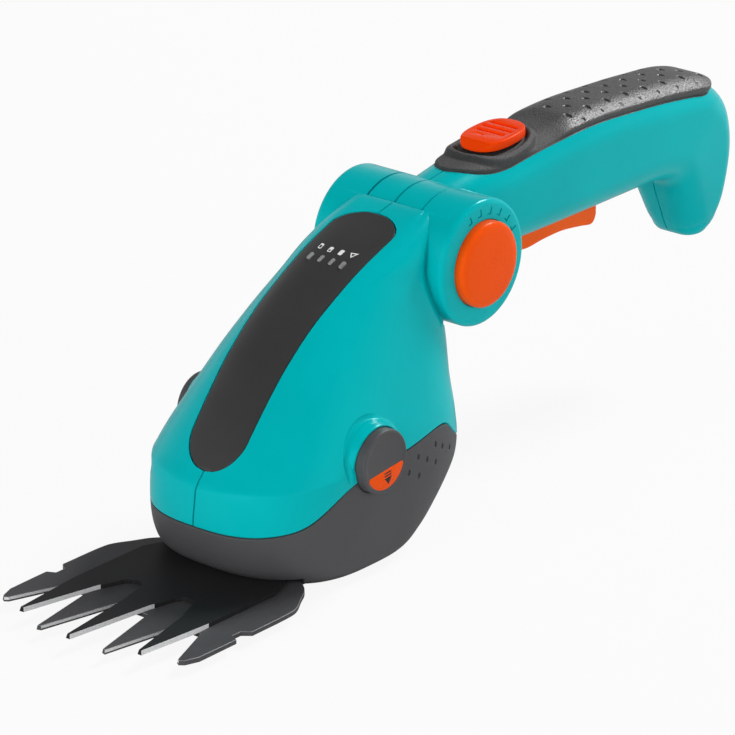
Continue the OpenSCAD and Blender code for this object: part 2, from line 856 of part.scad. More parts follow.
// Battery, along the panel's slope
cell_tilt = atan2(led_z - panel_low_z, led_y - low_y);
cell_inset = 18.2;
cell_mid = [0, mix(low_y, led_y, 0.53) + cell_inset * sin(cell_tilt),
    mix(panel_low_z, led_z, 0.53) - cell_inset * cos(cell_tilt)];
module at_cell() {
    translate(cell_mid)
        rotate([cell_tilt, 0, 0])
            rotate([-90, 0, 0])
                children();
}
module battery_cell() {
    color("#2f63b5")
        at_cell() {
            translate([0, 0, -cell_l / 2])
                cylinder(r = cell_r, h = cell_l);
            translate([0, 0, cell_l / 2 - 0.1])
                cylinder(r = 3, h = 1.3);
        }
}
cradle_t = 1.6;
cell_low_z = cell_mid[2] - cell_l / 2 * sin(cell_tilt);
leg_y = -22;
leg_w = 12;
leg_l = 7;
module battery_cradle() {
    color(charcoal)
        difference() {
            union() {
                at_cell()
                    translate([0, 0, -cell_l / 2 - cradle_t])
                        difference() {
                            cylinder(r = cell_r + cradle_t, h = cell_l + cradle_t + 3.5);
                            translate([-30, -30 - 2, -1])
                                cube([60, 30, cell_l + 20]);
                        }
                translate([-leg_w / 2, leg_y - leg_l / 2, plate_top])
                    cube([leg_w, leg_l, cell_low_z - cradle_t - plate_top]);
            }
            at_cell()
                translate([0, 0, -cell_l / 2 - seat_gap])
                    cylinder(r = cell_r + seat_gap, h = cell_l + 3);
        }
}
module control_board() {
    color("#1f6b3a")
        translate([0, plate_rear - 3, plate_top]) {
            translate([-16, 0, 0])
                cube([32, 1.6, 40]);
            translate([-5, 1.5, 12])
                cube([8, 1.7, 8]);
            translate([8, 1.5, 24])
                rotate([-90, 0, 0])
                    cylinder(r = 4, h = 5.5);
            translate([-13, 1.5, 28])
                cube([5, 3, 7]);
        }
}

// Blade cassette

module blade_carrier() {
    color(charcoal)
        difference() {
            linear_extrude(blade_z - blade_t)
                translate([0, (cassette_back - pivot_reach - 6) / 2])
                    plate_2d(2 * cassette_half_w, cassette_back + pivot_reach + 6, 5);
            translate([0, -pivot_reach, -1]) {
                cylinder(r = pivot_r + 0.02, h = blade_z + 2);
                cylinder(r = pivot_r + 2.2, h = 2.4);
            }
        }
}
module lower_blade() {
    color("#48494b")
        translate([0, 0, blade_z - blade_t])
            linear_extrude(blade_t)
                difference() {
                    lower_blade_2d();
                    translate([0, -pivot_reach])
                        circle(pivot_r + 0.02);
                }
}
module blade_pivot() {
    color(steel)
        translate([0, -pivot_reach, 0]) {
            translate([0, 0, 0.3])
                cylinder(r = pivot_r + 2, h = 1.1);
            translate([0, 0, 0.3])
                cylinder(r = pivot_r, h = floor_z - 0.4);
        }
}

// Right half of the upper blade's outline, from the middle tooth out and back
gullet_y = tip_y + 35.7;
function upper_edge() = [
    [0.9, tip_y - 10.9],
    [5.2, tip_y + 23],
    [7.4, gullet_y - 2.6],
    [9, gullet_y - 0.7],
    [11.3, gullet_y],
    [13.6, gullet_y - 0.7],
    [15.4, gullet_y - 2.6],
    [19, tip_y + 24],
    [25.4, tip_y - 5.1],
    [27.2, tip_y - 5.2],
    [29.6, tip_y + 18],
    [29.6, tip_y + 58],
    [26, tip_y + 66],
    [18, tip_y + 72],
    [11, tip_y + 78],
    [11, cassette_back - 3],
    [9, cassette_back - 1.2]
];
blade_gap = 0.06;
module upper_blade() {
    color("#2a2a2b")
        translate([0, 0, blade_z + blade_gap])
            linear_extrude(blade_t - blade_gap)
                difference() {
                    polygon(concat(upper_edge(), flip(upper_edge())));
                    translate([0, -pivot_reach])
                        circle(pivot_r + pin_gap);
                    plate_2d(2 * (crank_r + 0.1), 2 * (crank_throw + crank_r + 0.4), crank_r);
                }
}

// Release buttons

mark_t = 0.8;
mark_drop = 2.9;
mark_tilt = 5.8;
mark_rim = 1.6;
module release_mark_2d(grow) {
    intersection() {
        circle(release_r - mark_rim + grow);
        rotate(mark_tilt)
            translate([-2 * release_r, -2 * release_r - mark_drop + grow])
                square([4 * release_r, 2 * release_r]);
    }
}
module at_release(side) {
    mirror([side < 0 ? 1 : 0, 0, 0])
        translate([0, 0, release_z])
            rotate([90, 0, 90])
                children();
}
module release_button(side) {
    color(charcoal)
        at_release(side)
            difference() {
                union() {
                    rotate_extrude()
                        polygon([
                            [0, release_flange_x - release_flange_t],
                            [release_flange_r, release_flange_x - release_flange_t],
                            [release_flange_r, release_flange_x],
                            [release_r, release_flange_x],
                            [release_r, release_x - 0.9],
                            [release_r - 0.9, release_x],
                            [0, release_x]]);
                    translate([0, 0, release_nose_x])
                        cylinder(r = 2.4, h = release_flange_x - release_flange_t - release_nose_x + 0.1);
                }
                translate([0, 0, release_x - mark_t])
                    linear_extrude(2)
                        release_mark_2d(seat_gap / 2);
            }
}
module release_mark(side) {
    color(orange)
        at_release(side)
            translate([0, 0, release_x - mark_t])
                linear_extrude(mark_t)
                    release_mark_2d(0);
}
module release_spring(side) {
    color(steel)
        at_release(side)
            coil(3.6, spring_wire, post_x + post_t + 0.05, release_flange_x - release_flange_t - 0.05, 4);
}
module release_button_left() {
    release_button(1);
}
module release_button_right() {
    release_button(-1);
}
module release_mark_left() {
    release_mark(1);
}
module release_mark_right() {
    release_mark(-1);
}
module release_spring_left() {
    release_spring(1);
}
module release_spring_right() {
    release_spring(-1);
}

// Hinge

bolt_head_t = 2.2;
module at_hinge(side = 1) {
    translate([0, hinge_y, hinge_z])
        mirror([side < 0 ? 1 : 0, 0, 0])
            rotate([90, 0, 90])
                children();
}
bolt_half_l = pocket_x + 3.5;
module hinge_bolt() {
    color(steel)
        at_hinge() {
            translate([0, 0, -bolt_half_l])
                cylinder(r = bolt_r, h = bolt_half_l + pocket_x + 0.1);
            translate([0, 0, pocket_x + 0.02])
                cylinder(r = bolt_r + 2.5, h = bolt_head_t);
        }
}
module hinge_nut() {
    color(steel)
        at_hinge(-1)
            translate([0, 0, pocket_x + 0.02])
                difference() {
                    cylinder(r = bolt_r + 2.8, h = 3, $fn = 6);
                    translate([0, 0, -1])
                        cylinder(r = bolt_r + 0.02, h = 6);
                }
}
hinge_face_x = drum_half_w + hinge_button_proud;
hinge_skin = 2.4;
hinge_cup_x = pocket_x + hinge_travel + 0.4;
module hinge_button(side) {
    color(orange)
        at_hinge(side)
            rotate_extrude($fn = 72)
                polygon([
                    [0, hinge_face_x - hinge_skin],
                    [hinge_button_r - 2.6, hinge_face_x - hinge_skin],
                    [hinge_button_r - 2.6, hinge_cup_x],
                    [hinge_button_r, hinge_cup_x],
                    [hinge_button_r, hinge_face_x - 1.6],
                    [hinge_button_r - 0.2, hinge_face_x - 0.9],
                    [hinge_button_r - 0.6, hinge_face_x - 0.5],
                    [hinge_button_r - 1.5, hinge_face_x - 0.25],
                    [0, hinge_face_x]]);
}
module hinge_spring(side) {
    color(steel)
        at_hinge(side)
            coil(9.4, 0.6, pocket_x + 0.05, hinge_face_x - hinge_skin - 0.05, 4);
}
module hinge_button_left() {
    hinge_button(1);
}
module hinge_button_right() {
    hinge_button(-1);
}
module hinge_spring_left() {
    hinge_spring(1);
}
module hinge_spring_right() {
    hinge_spring(-1);
}

// Handle, a bent tube whose ribs run from the upper edge to the lower one

tail_z = hinge_z - 2.5;
upper_line = [
    [0, [hinge_y + 2.4, hinge_z + drum_r - 1.4]],
    [1, [hinge_y + 16, handle_top_z - 5.6]],
    [2, [hinge_y + 32, handle_top_z - 3.9]],
    [3, [hinge_y + 58, handle_top_z - 1.9]],
    [4, [tail_y - 87.5, handle_top_z - 0.6]],
    [5, [tail_y - 64.5, handle_top_z - 1.3]],
    [6, [tail_y - 41.5, handle_top_z - 2.7]],
    [7, [tail_y - 20, handle_top_z - 5.6]],
    [8, [tail_y - 10.5, handle_top_z - 10.3]],
    [9, [tail_y - 3.6, tail_z + 13.5]],
    [10, [tail_y, tail_z]],
    [11, [tail_y - 1.5, mix(tail_z, hook_low_z, 0.48)]],
    [12, [tail_y - 5, hook_low_z + 8]],
    [13, [tail_y - 10.5, hook_low_z + 1.6]]
];
hook_y = tail_y - 23.7;
lower_line = [
    [0, [hinge_y + 2.4, handle_low_z + 1]],
    [1, [hinge_y + 16, handle_low_z + 0.3]],
    [2, [hinge_y + 32, handle_low_z]],
    [3, [hinge_y + 57, handle_low_z]],
    [4, [tail_y - 90.5, handle_low_z]],
    [5, [tail_y - 69.5, handle_low_z]],
    [6, [tail_y - 50, handle_low_z - 0.2]],
    [7, [tail_y - 39.5, handle_low_z - 1.5]],
    [8, [tail_y - 34.6, handle_low_z - 4.8]],
    [9, [tail_y - 32.3, mix(handle_low_z, hook_low_z, 0.35)]],
    [10, [tail_y - 29.7, mix(handle_low_z, hook_low_z, 0.56)]],
    [11, [tail_y - 26.6, mix(handle_low_z, hook_low_z, 0.8)]],
    [12, [hook_y - 0.6, hook_low_z + 2]],
    [13, [hook_y + 1.5, hook_low_z + 0.4]]
];
grip_width = [
    [0, handle_half_w - 3],
    [1, handle_half_w - 2.4],
    [2, handle_half_w - 1],
    [3, handle_half_w],
    [6, handle_half_w],
    [8, handle_half_w - 0.4],
    [11, handle_half_w - 2.6],
    [12, handle_half_w - 4],
    [13, handle_half_w - 6.2]
];
rib_last = 13;
rib_steps = 36;
arc_steps = 5;

// Half section of the handle: places across and along the rib, from the upper edge round the left
function half_section(w, h, r) = concat(
    [[0, h]],
    [for (k = [0 : arc_steps]) [w - r + r * sin(90 * k / arc_steps), h - r + r * cos(90 * k / arc_steps)]],
    [for (k = [0 : arc_steps]) [w - r + r * cos(90 * k / arc_steps), r - r * sin(90 * k / arc_steps)]],
    [[0, 0]]);
function rib_point(p, low, up) = [p[0], low[0] + up[0] * p[1], low[1] + up[1] * p[1]];
function handle_rib(s, inset) =
    let (top = curve(upper_line, s))
    let (low = curve(lower_line, s))
    let (h = norm(top - low))
    let (up = (top - low) / h)
    let (w = curve(grip_width, s) - inset)
    let (r = min(handle_round, 0.48 * h, curve(grip_width, s) - 1) - inset)
    [for (p = half_section(w, h - 2 * inset, max(r, 0.5))) rib_point(p + [0, inset], low, up)];
function handle_grid(inset) =
    let (last = rib_last - (inset > 0 ? 0.35 : 0))
    let (ribs = [for (k = [0 : rib_steps]) handle_rib(last * k / rib_steps, inset)])
    let (from = ribs[rib_steps][0])
    let (to = ribs[rib_steps][len(ribs[0]) - 1])
    let (count = len(ribs[0]) - 1)
    let (sag = [0, 0, inset > 0 ? 0 : 0.4])
    concat(ribs, [[for (j = [0 : count]) mix(from, to, 0.06 + 0.88 * j / count) - sag]]);

// Places inside the handle

trigger_y = hinge_y + 36;
trigger_z = handle_low_z + 6;
trigger_end = trigger_y + trigger_l;

// Screw places of the handle: along, up, and the rib that each is near
handle_screw_places = [
    [hinge_y + 27.2, mix(handle_low_z, handle_top_z, 0.37), 1.7],
    [tail_y - 60.5, mix(handle_low_z, handle_top_z, 0.413), 5],
    [tail_y - 16.5, tail_z - 0.8, 9.5]
];
function handle_skin(p) = curve(grip_width, p[2]) - 1.6;
socket_y = tail_y - 16.4;
socket_body_r = 4.2;
socket_h = 13;
socket_z = hook_low_z - 0.3;
switch_y = trigger_y + 38;
switch_z = mix(handle_low_z, handle_top_z, 0.3);
switch_size = [6.4, 20, 0.263 * (handle_top_z - handle_low_z)];
thumb_y = hinge_y + thumb_back;
function top_at(y, s = 0) = curve(upper_line, s)[0] >= y ? curve(upper_line, s)[1] : top_at(y, s + 0.02);
thumb_z = top_at(thumb_y) + pad_t;
slot_w = 11;
slot_l = 15;
module at_thumb() {
    translate([0, thumb_y, thumb_z])
        rotate([thumb_tilt, 0, 0])
            children();
}
module thumb_slot() {
    at_thumb()
        translate([0, -thumb_travel / 2, -12])
            linear_extrude(20)
                plate_2d(slot_w + 2 * run_gap, slot_l + thumb_travel + 2 * run_gap, 3);
}
shoulder_r = drum_r + 1.6 * run_gap;
web_x = tongue_half_w - 2.5;
tongue_x = tongue_half_w - run_gap / 2;

module handle(side) {
    color(teal)
        mirror([side < 0 ? 1 : 0, 0, 0])
            difference() {
                union() {
                    difference() {
                        union() {
                            slab(handle_grid(0), handle_grid(handle_wall));
                            translate([web_x, hinge_y + 14, handle_low_z + 2])
                                cube([handle_half_w - 4 - web_x, 14, handle_top_z - handle_low_z - 11]);
                        }
                        translate([0, hinge_y, hinge_z])
                            rod_x(shoulder_r, tongue_x, handle_half_w + 4);
                    }
                    translate([0, hinge_y, hinge_z])
                        rod_x(drum_r, 0, tongue_x);
                    for (p = handle_screw_places)
                        translate([0, p[0], p[1]])
                            rod_x(boss_r, 0, handle_skin(p));
                    translate([0, trigger_y, trigger_z])
                        rod_x(trigger_pin_r + 2, trigger_half_w + run_gap, handle_half_w - 1.5);
                    for (y = [-6, 6])
                        translate([0, switch_y + y, switch_z + switch_size[2] / 2])
                            rod_x(2, switch_size[0] / 2 + 0.05, handle_half_w - 1.5);
                }
                translate([0, hinge_y, hinge_z]) {
                    rod_x(bolt_r + pin_gap, -1, drum_half_w);
                    difference() {
                        rod_x(drum_r - 3, -1, web_x);
                        rod_x(bolt_r + 3, -2, web_x + 1);
                    }
                }
                translate([-1, trigger_y - 4.5, handle_low_z - 4])
                    cube([trigger_half_w + run_gap + 1, trigger_l + 6.5, 4 + handle_wall + 0.4]);
                translate([0, trigger_y, trigger_z])
                    rod_x(trigger_pin_r + 0.02, 0, handle_half_w - 4);
                thumb_slot();
                translate([0, socket_y, socket_z - 2])
                    cylinder(r = socket_body_r + 0.05, h = socket_h + 4);
                for (p = handle_screw_places)
                    translate([0, p[0], p[1]])
                        if (side > 0) rod_x(screw_r + 0.02, -1, handle_skin(p) - 2);
                        else {
                            rod_x(screw_r + seat_gap, -1, handle_skin(p));
                            rod_x(screw_head_r + run_gap, handle_skin(p) - head_depth, handle_half_w + 2);
                        }
            }
}
module handle_left() {
    handle(1);
}
module handle_right() {
    handle(-1);
}
module handle_screws() {
    color(steel)
        for (p = handle_screw_places)
            translate([0, p[0], p[1]]) {
                rod_x(screw_r, -handle_skin(p) + head_depth - 0.1, handle_skin(p) - screw_seat);
                difference() {
                    rod_x(screw_head_r, -handle_skin(p) + head_depth - 2, -handle_skin(p) + head_depth);
                    translate([-handle_skin(p) + head_depth - 2, 0, 0])
                        for (turn = [0, 90])
                            rotate([turn, 0, 0])
                                cube([1.6, 3, 0.7], center = true);
                }
            }
}
module detent_ring() {
    color(brass)
        at_hinge()
            translate([0, 0, -3])
                linear_extrude(6)
                    difference() {
                        circle(drum_r - 3.1);
                        circle(drum_r - 6);
                        for (k = [0 : 23])
                            rotate(15 * k)
                                translate([drum_r - 6.4, 0])
                                    square([2.4, 2], center = true);
                    }
}

// Soft pad on top of the handle, with the raised rim round the thumb lock

pad_first = 0.86;
pad_last = 7.75;
pad_front_round = 0.21;
pad_rear_round = 0.13;
pad_rows = 30;
pad_cols = 8;
pad_taper = 2;
function pad_round(share) = sqrt(max(1 - (1 - min(share, 1)) ^ 2, 0.02));
function pad_half(t) =
    let (ends = min(pad_round(t / pad_front_round), pad_round((1 - t) / pad_rear_round)))
    (pad_half_w - pad_taper * (1 - t)) * ends;

// Place on the handle's skin at a share along the ribs and a place across, lifted off it
function skin_drop(x, w, r) = abs(x) <= w - r ? 0 : r - sqrt(max(r * r - (abs(x) - w + r) ^ 2, 0));
function skin_tilt(x, w, r) = abs(x) <= w - r ? 0 : asin(min((abs(x) - w + r) / r, 1)) * sign(x);
function skin_point(s, x, lift) =
    let (top = curve(upper_line, s))
    let (low = curve(lower_line, s))
    let (up = (top - low) / norm(top - low))
    let (w = curve(grip_width, s))
    let (r = min(handle_round, w - 1))
    let (a = skin_tilt(x, w, r))
    let (down = skin_drop(x, w, r) - lift * cos(a))
    [x + lift * sin(a), top[0] - up[0] * down, top[1] - up[1] * down];
function pad_grid(lift) = [
    for (k = [0 : pad_rows])
        let (t = k / pad_rows)
        let (s = mix(pad_first, pad_last, t))
        [for (j = [-pad_cols : pad_cols]) skin_point(s, pad_half(t) * j / pad_cols, lift)]
];
module grip_pad() {
    color(charcoal)
        difference() {
            union() {
                slab(pad_grid(pad_t), pad_grid(1.5 * seat_gap));
                at_thumb()
                    translate([0, -thumb_travel / 2, -0.5])
                        linear_extrude(thumb_rim_h + 0.5)
                            oval_2d(thumb_w + 4.6, thumb_l + thumb_travel + 4.6);
            }
            thumb_slot();
            at_thumb()
                translate([0, -thumb_travel / 2, 0])
                    linear_extrude(10)
                        oval_2d(thumb_w + 4 * run_gap, thumb_l + thumb_travel + 4 * run_gap);
        }
}

// Thumb lock: a grooved cap on a stem, held by a foot inside the handle

thumb_foot_z = -pad_t - handle_wall - 4;
nose_drop = 2.2;
nose_slope = 38;
module thumb_lock() {
    color(orange)
        at_thumb()
            difference() {
                union() {
                    translate([0, 0, run_gap])
                        linear_extrude(thumb_h - run_gap)
                            oval_2d(thumb_w, thumb_l);
                    translate([0, 0, thumb_foot_z])
                        linear_extrude(thumb_h - 1 - thumb_foot_z)
                            plate_2d(slot_w, slot_l, 2.5);
                    translate([0, 0, thumb_foot_z - 1.4])
                        linear_extrude(1.6)
                            plate_2d(slot_w + 3, slot_l + 2, 2.5);
                }
                translate([0, -thumb_l / 2, thumb_h - nose_drop])
                    rotate([nose_slope, 0, 0])
                        translate([-thumb_w, -thumb_w, 0])
                            cube([2 * thumb_w, 2 * thumb_w, 2 * thumb_h]);
                for (y = [-1.4, 2.4, 6.2])
                    translate([0, y, thumb_h])
                        cube([thumb_w - 6, 1.6, 1.2], center = true);
            }
}
module thumb_spring() {
    color(steel)
        at_thumb()
            translate([0, slot_l / 2 + 0.1, thumb_foot_z + 1.9])
                rotate([-90, 0, 0])
                    coil(1.3, 0.3, 0, 7, 5);
}

// Trigger and switch

trigger_low = handle_low_z - trigger_drop;
trigger_top = trigger_z - 1.5;
module trigger() {
    color(orange)
        difference() {
            union() {
                translate([-trigger_half_w, 0, 0])
                    rotate([90, 0, 90])
                        linear_extrude(2 * trigger_half_w)
                            polygon([
                                [trigger_y - 3.2, trigger_top],
                                [trigger_y - 3.6, handle_low_z - 0.5],
                                [trigger_y + 3, handle_low_z - 3],
                                [trigger_y + 16, trigger_low + 0.9],
                                [trigger_y + 27, trigger_low + 1.4],
                                [trigger_y + 38, trigger_low + 1.6],
                                [trigger_y + 49, trigger_low + 0.4],
                                [trigger_end - 3.4, trigger_low - 0.6],
                                [trigger_end - 1.2, trigger_low + 0.4],
                                [trigger_end, trigger_low + 2.6],
                                [trigger_end, trigger_top - 0.5],
                                [trigger_end - 1, trigger_top]]);
                translate([0, trigger_y, trigger_z])
                    rod_x(3.2, -trigger_half_w, trigger_half_w);
            }
            translate([0, trigger_y, trigger_z])
                rod_x(trigger_pin_r + pin_gap, -20, 20);
            translate([0, trigger_y + 16, trigger_top - 2.4])
                cylinder(r = 3.4, h = 4);
        }
}
module trigger_pin() {
    color(steel)
        translate([0, trigger_y, trigger_z])
            rod_x(trigger_pin_r, -handle_half_w + 4.2, handle_half_w - 4.2);
}
spring_top = mix(handle_low_z, handle_top_z, 0.421);
module trigger_spring() {
    color(steel)
        translate([0, trigger_y + 16, 0])
            coil(2.4, 0.45, trigger_top - 2.3, spring_top, 5);
}
module micro_switch() {
    color("#2b2b2c") {
        translate([0, switch_y, switch_z + switch_size[2] / 2])
            cube(switch_size, center = true);
        translate([0, switch_y + 5, switch_z - 1])
            cube([2.4, 2.4, 2.2], center = true);
        translate([-3, trigger_y + 12, spring_top + 0.05])
            cube([6, switch_y - trigger_y - 12, 1.4]);
    }
}
module charge_socket() {
    color("#2b2b2c")
        translate([0, socket_y, socket_z])
            difference() {
                cylinder(r = socket_body_r, h = socket_h);
                translate([0, 0, -1])
                    cylinder(r = socket_r, h = socket_depth + 1);
            }
}

base_pan();
housing_left();
housing_right();
display_panel();
led_lenses();
display_board();
battery_cell();
battery_cradle();
motor();
motor_shaft();
motor_pinion();
motor_plate();
plate_screws();
gear_axle();
drive_gear();
crank_pin();
control_board();
housing_screws();
blade_carrier();
lower_blade();
blade_pivot();
upper_blade();
release_button_left();
release_mark_left();
release_spring_left();
release_button_right();
release_mark_right();
release_spring_right();
hinge_bolt();
hinge_nut();
hinge_button_left();
hinge_spring_left();
hinge_button_right();
hinge_spring_right();
handle_left();
handle_right();
grip_pad();
detent_ring();
handle_screws();
thumb_lock();
thumb_spring();
trigger();
trigger_pin();
trigger_spring();
micro_switch();
charge_socket();
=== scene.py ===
import math

import bmesh
import bpy
import numpy as np
from mathutils import Matrix, Vector


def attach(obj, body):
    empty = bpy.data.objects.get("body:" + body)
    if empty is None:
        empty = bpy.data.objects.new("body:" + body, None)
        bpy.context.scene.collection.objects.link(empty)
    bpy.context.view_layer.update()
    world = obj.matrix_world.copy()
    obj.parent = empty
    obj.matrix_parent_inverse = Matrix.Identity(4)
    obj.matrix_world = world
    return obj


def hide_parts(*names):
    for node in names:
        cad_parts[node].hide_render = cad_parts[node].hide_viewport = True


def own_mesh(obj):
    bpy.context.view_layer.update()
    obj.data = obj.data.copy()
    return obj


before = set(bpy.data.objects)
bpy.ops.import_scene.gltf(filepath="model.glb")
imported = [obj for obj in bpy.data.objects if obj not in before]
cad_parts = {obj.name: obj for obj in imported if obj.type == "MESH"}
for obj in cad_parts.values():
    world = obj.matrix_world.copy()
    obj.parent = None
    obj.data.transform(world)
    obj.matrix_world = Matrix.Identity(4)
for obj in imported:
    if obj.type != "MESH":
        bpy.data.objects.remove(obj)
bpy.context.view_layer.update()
millimetre = 0.001
print("frame loaded")


# Curves and meshes: everything is worked out in millimetres

def smoothLine(points, key):
    # smooth curve through (key, value) points; a value may be a number or a place
    keys = np.array([p[0] for p in points], float)
    values = np.array([p[1] for p in points], float)
    key = np.asarray(key, float)
    last = len(keys) - 1
    low = np.maximum(np.arange(last + 1) - 1, 0)
    high = np.minimum(np.arange(last + 1) + 1, last)
    run = keys[high] - keys[low]
    slopes = (values[high] - values[low]) / (run if values.ndim == 1 else run[:, None])
    i = np.clip(np.searchsorted(keys, key, side="right") - 1, 0, last - 1)
    h = keys[i + 1] - keys[i]
    t = np.clip((key - keys[i]) / h, 0, 1)
    if values.ndim > 1:
        h, t = h[..., None], t[..., None]
    start = (2 * t ** 3 - 3 * t ** 2 + 1) * values[i] + (t ** 3 - 2 * t ** 2 + t) * h * slopes[i]
    return start + (3 * t ** 2 - 2 * t ** 3) * values[i + 1] + (t ** 3 - t ** 2) * h * slopes[i + 1]


def ease(a, b, x):
    t = np.clip((np.asarray(x, float) - a) / (b - a), 0, 1)
    return t * t * (3 - 2 * t)


def fullTurn(count):
    # angles once round, in radians
    return np.linspace(0, 2 * np.pi, count, endpoint=False)


def span(side, a, b):
    # two places across, on one side of the middle, the lower one first
    return sorted((side * a, side * b))


def gridFaces(rows, cols, start=0, closed=False, turned=False):
    faces = []
    for i in range(rows - 1):
        for j in range(cols if closed else cols - 1):
            k = (j + 1) % cols
            face = (start + i * cols + j, start + i * cols + k,
                    start + (i + 1) * cols + k, start + (i + 1) * cols + j)
            faces.append(face[::-1] if turned else face)
    return faces


def makePiece(name, points, faces):
    mesh = bpy.data.meshes.new(name)
    mesh.from_pydata([tuple(p) for p in np.asarray(points, float) * millimetre], [], faces)
    work = bmesh.new()
    work.from_mesh(mesh)
    bmesh.ops.recalc_face_normals(work, faces=work.faces)
    work.to_mesh(mesh)
    work.free()
    piece = bpy.data.objects.new(name, mesh)
    bpy.context.scene.collection.objects.link(piece)
    return piece


def slabPiece(name, outer, inner):
    # closed skin between two grids of the same size
    rows, cols = outer.shape[:2]
    back, end, edge = rows * cols, (rows - 1) * cols, cols - 1
    faces = gridFaces(rows, cols) + gridFaces(rows, cols, back, turned=True)
    for j in range(cols - 1):
        faces.append((j + 1, j, back + j, back + j + 1))
        faces.append((end + j, end + j + 1, back + end + j + 1, back + end + j))
    for i in range(rows - 1):
        near, far = i * cols, (i + 1) * cols
        faces.append((near, far, back + far, back + near))
        faces.append((far + edge, near + edge, back + near + edge, back + far + edge))
    return makePiece(name, np.concatenate([outer.reshape(-1, 3), inner.reshape(-1, 3)]), faces)


def stackPiece(name, rings):
    # closed solid through a stack of closed rings
    count, cols = rings.shape[:2]
    faces = gridFaces(count, cols, closed=True)
    faces.append(tuple(range(cols))[::-1])
    faces.append(tuple((count - 1) * cols + j for j in range(cols)))
    return makePiece(name, rings.reshape(-1, 3), faces)


def turnedPiece(name, profile, place, steps=144, side=1):
    # profile of (radius, x) turned about the X axis through place (y, z), from the middle to the middle
    angles = fullTurn(steps)
    inner = profile[1:-1]
    points = [(side * profile[0][1], place[0], place[1])]
    for radius, x in inner:
        points += [(side * x, place[0] + radius * math.cos(a), place[1] + radius * math.sin(a))
                   for a in angles]
    points.append((side * profile[-1][1], place[0], place[1]))
    faces = [(0, 1 + (j + 1) % steps, 1 + j) for j in range(steps)]
    faces += gridFaces(len(inner), steps, 1, closed=True)
    end = 1 + (len(inner) - 1) * steps
    faces += [(end + j, end + (j + 1) % steps, len(points) - 1) for j in range(steps)]
    return makePiece(name, points, faces)


def rodCutter(radius, x0, x1, place, steps=96):
    return turnedPiece("cutter", [(0, x0), (radius, x0), (radius, x1), (0, x1)], place, steps)


def prismFaces(count, start=0):
    # two outlines of the same count, and the sides between them
    faces = [tuple(range(start, start + count)), tuple(range(start + count, start + 2 * count))[::-1]]
    for i in range(count):
        k = (i + 1) % count
        faces.append((start + i, start + k, start + count + k, start + count + i))
    return faces


def prismPiece(name, outline, low, high):
    # outline of (x, y) raised from low to high
    points = [(x, y, z) for z in (low, high) for x, y in outline]
    return makePiece(name, points, prismFaces(len(outline)))


def discCutter(radius, y, low, high):
    # upright round hole in the middle plane
    outline = [(radius * math.cos(a), y + radius * math.sin(a)) for a in fullTurn(64)]
    return prismPiece("cutter", outline, low, high)


def boxCutter(low, high):
    outline = [(low[0], low[1]), (high[0], low[1]), (high[0], high[1]), (low[0], high[1])]
    return prismPiece("cutter", outline, low[2], high[2])


def sidePlate(name, outline, x0, x1, middle=(0.0, 0.0)):
    # outline of (along, up) about a middle, carried from x0 to x1
    points = [(x, middle[0] + y, middle[1] + z) for x in (x0, x1) for y, z in outline]
    return makePiece(name, points, prismFaces(len(outline)))


def ringTube(middle, turns, radius, x, thick, side=1, steps=24):
    # bent tube round the X axis; its radius, place and thickness may change on the way
    around = fullTurn(steps)[None, :, None]
    turns = np.radians(turns)
    outward = np.stack([np.zeros_like(turns), np.cos(turns), np.sin(turns)], -1)
    spine = np.stack([x, middle[0] + radius * np.cos(turns), middle[1] + radius * np.sin(turns)], -1)
    section = np.cos(around) * outward[:, None] + np.sin(around) * np.array([1.0, 0, 0])
    rings = spine[:, None] + thick[:, None, None] * section
    return stackPiece("cutter", rings * np.array([side, 1.0, 1.0]))


def beadCutter(spot, size):
    # small rounded hollow
    lift, turns = np.radians(np.linspace(-78, 78, 8))[:, None], fullTurn(16)[None]
    rings = np.stack([np.cos(lift) * np.cos(turns), np.cos(lift) * np.sin(turns),
                      np.repeat(np.sin(lift), 16, 1)], -1)
    return stackPiece("cutter", np.asarray(spot) + rings * np.asarray(size))


def roundedBar(wide, tall, corner, steps=5):
    # outline of a bar with round corners, about its middle
    spots = []
    for k, (sx, sy) in enumerate(((1, 1), (-1, 1), (-1, -1), (1, -1))):
        for a in np.radians(np.linspace(90 * k, 90 * k + 90, steps)):
            spots.append((sx * (wide / 2 - corner) + corner * math.cos(a),
                          sy * (tall / 2 - corner) + corner * math.sin(a)))
    return spots


def reshape(piece, change):
    # moves the points of a new piece before it is used
    spots = np.array([v.co for v in piece.data.vertices]) / millimetre
    for vertex, spot in zip(piece.data.vertices, change(spots) * millimetre):
        vertex.co = spot
    return piece


def settle(piece):
    # applies the modifiers of a piece to its mesh
    found = bpy.context.evaluated_depsgraph_get()
    mesh = bpy.data.meshes.new_from_object(piece.evaluated_get(found))
    old = piece.data
    piece.modifiers.clear()
    piece.data = mesh
    bpy.data.meshes.remove(old)


def carve(piece, tools, operation="DIFFERENCE"):
    for tool in tools:
        cut = piece.modifiers.new("carve", "BOOLEAN")
        cut.operation = operation
        cut.solver = "MANIFOLD"
        cut.object = tool
        settle(piece)
        mesh = tool.data
        bpy.data.objects.remove(tool)
        bpy.data.meshes.remove(mesh)
    return piece


def soften(piece, width, angle=40, segments=3):
    bevel = piece.modifiers.new("edges", "BEVEL")
    bevel.width = width * millimetre
    bevel.segments = segments
    bevel.limit_method = "ANGLE"
    bevel.angle_limit = math.radians(angle)
    bevel.harden_normals = False
    settle(piece)
    return piece


def shade(piece, angle=32):
    # smooth shading with the crisp edges kept
    work = bmesh.new()
    work.from_mesh(piece.data)
    limit = math.radians(angle)
    for face in work.faces:
        face.smooth = True
    for edge in work.edges:
        edge.smooth = len(edge.link_faces) == 2 and edge.calc_face_angle(0) < limit
    work.to_mesh(piece.data)
    work.free()
    return piece


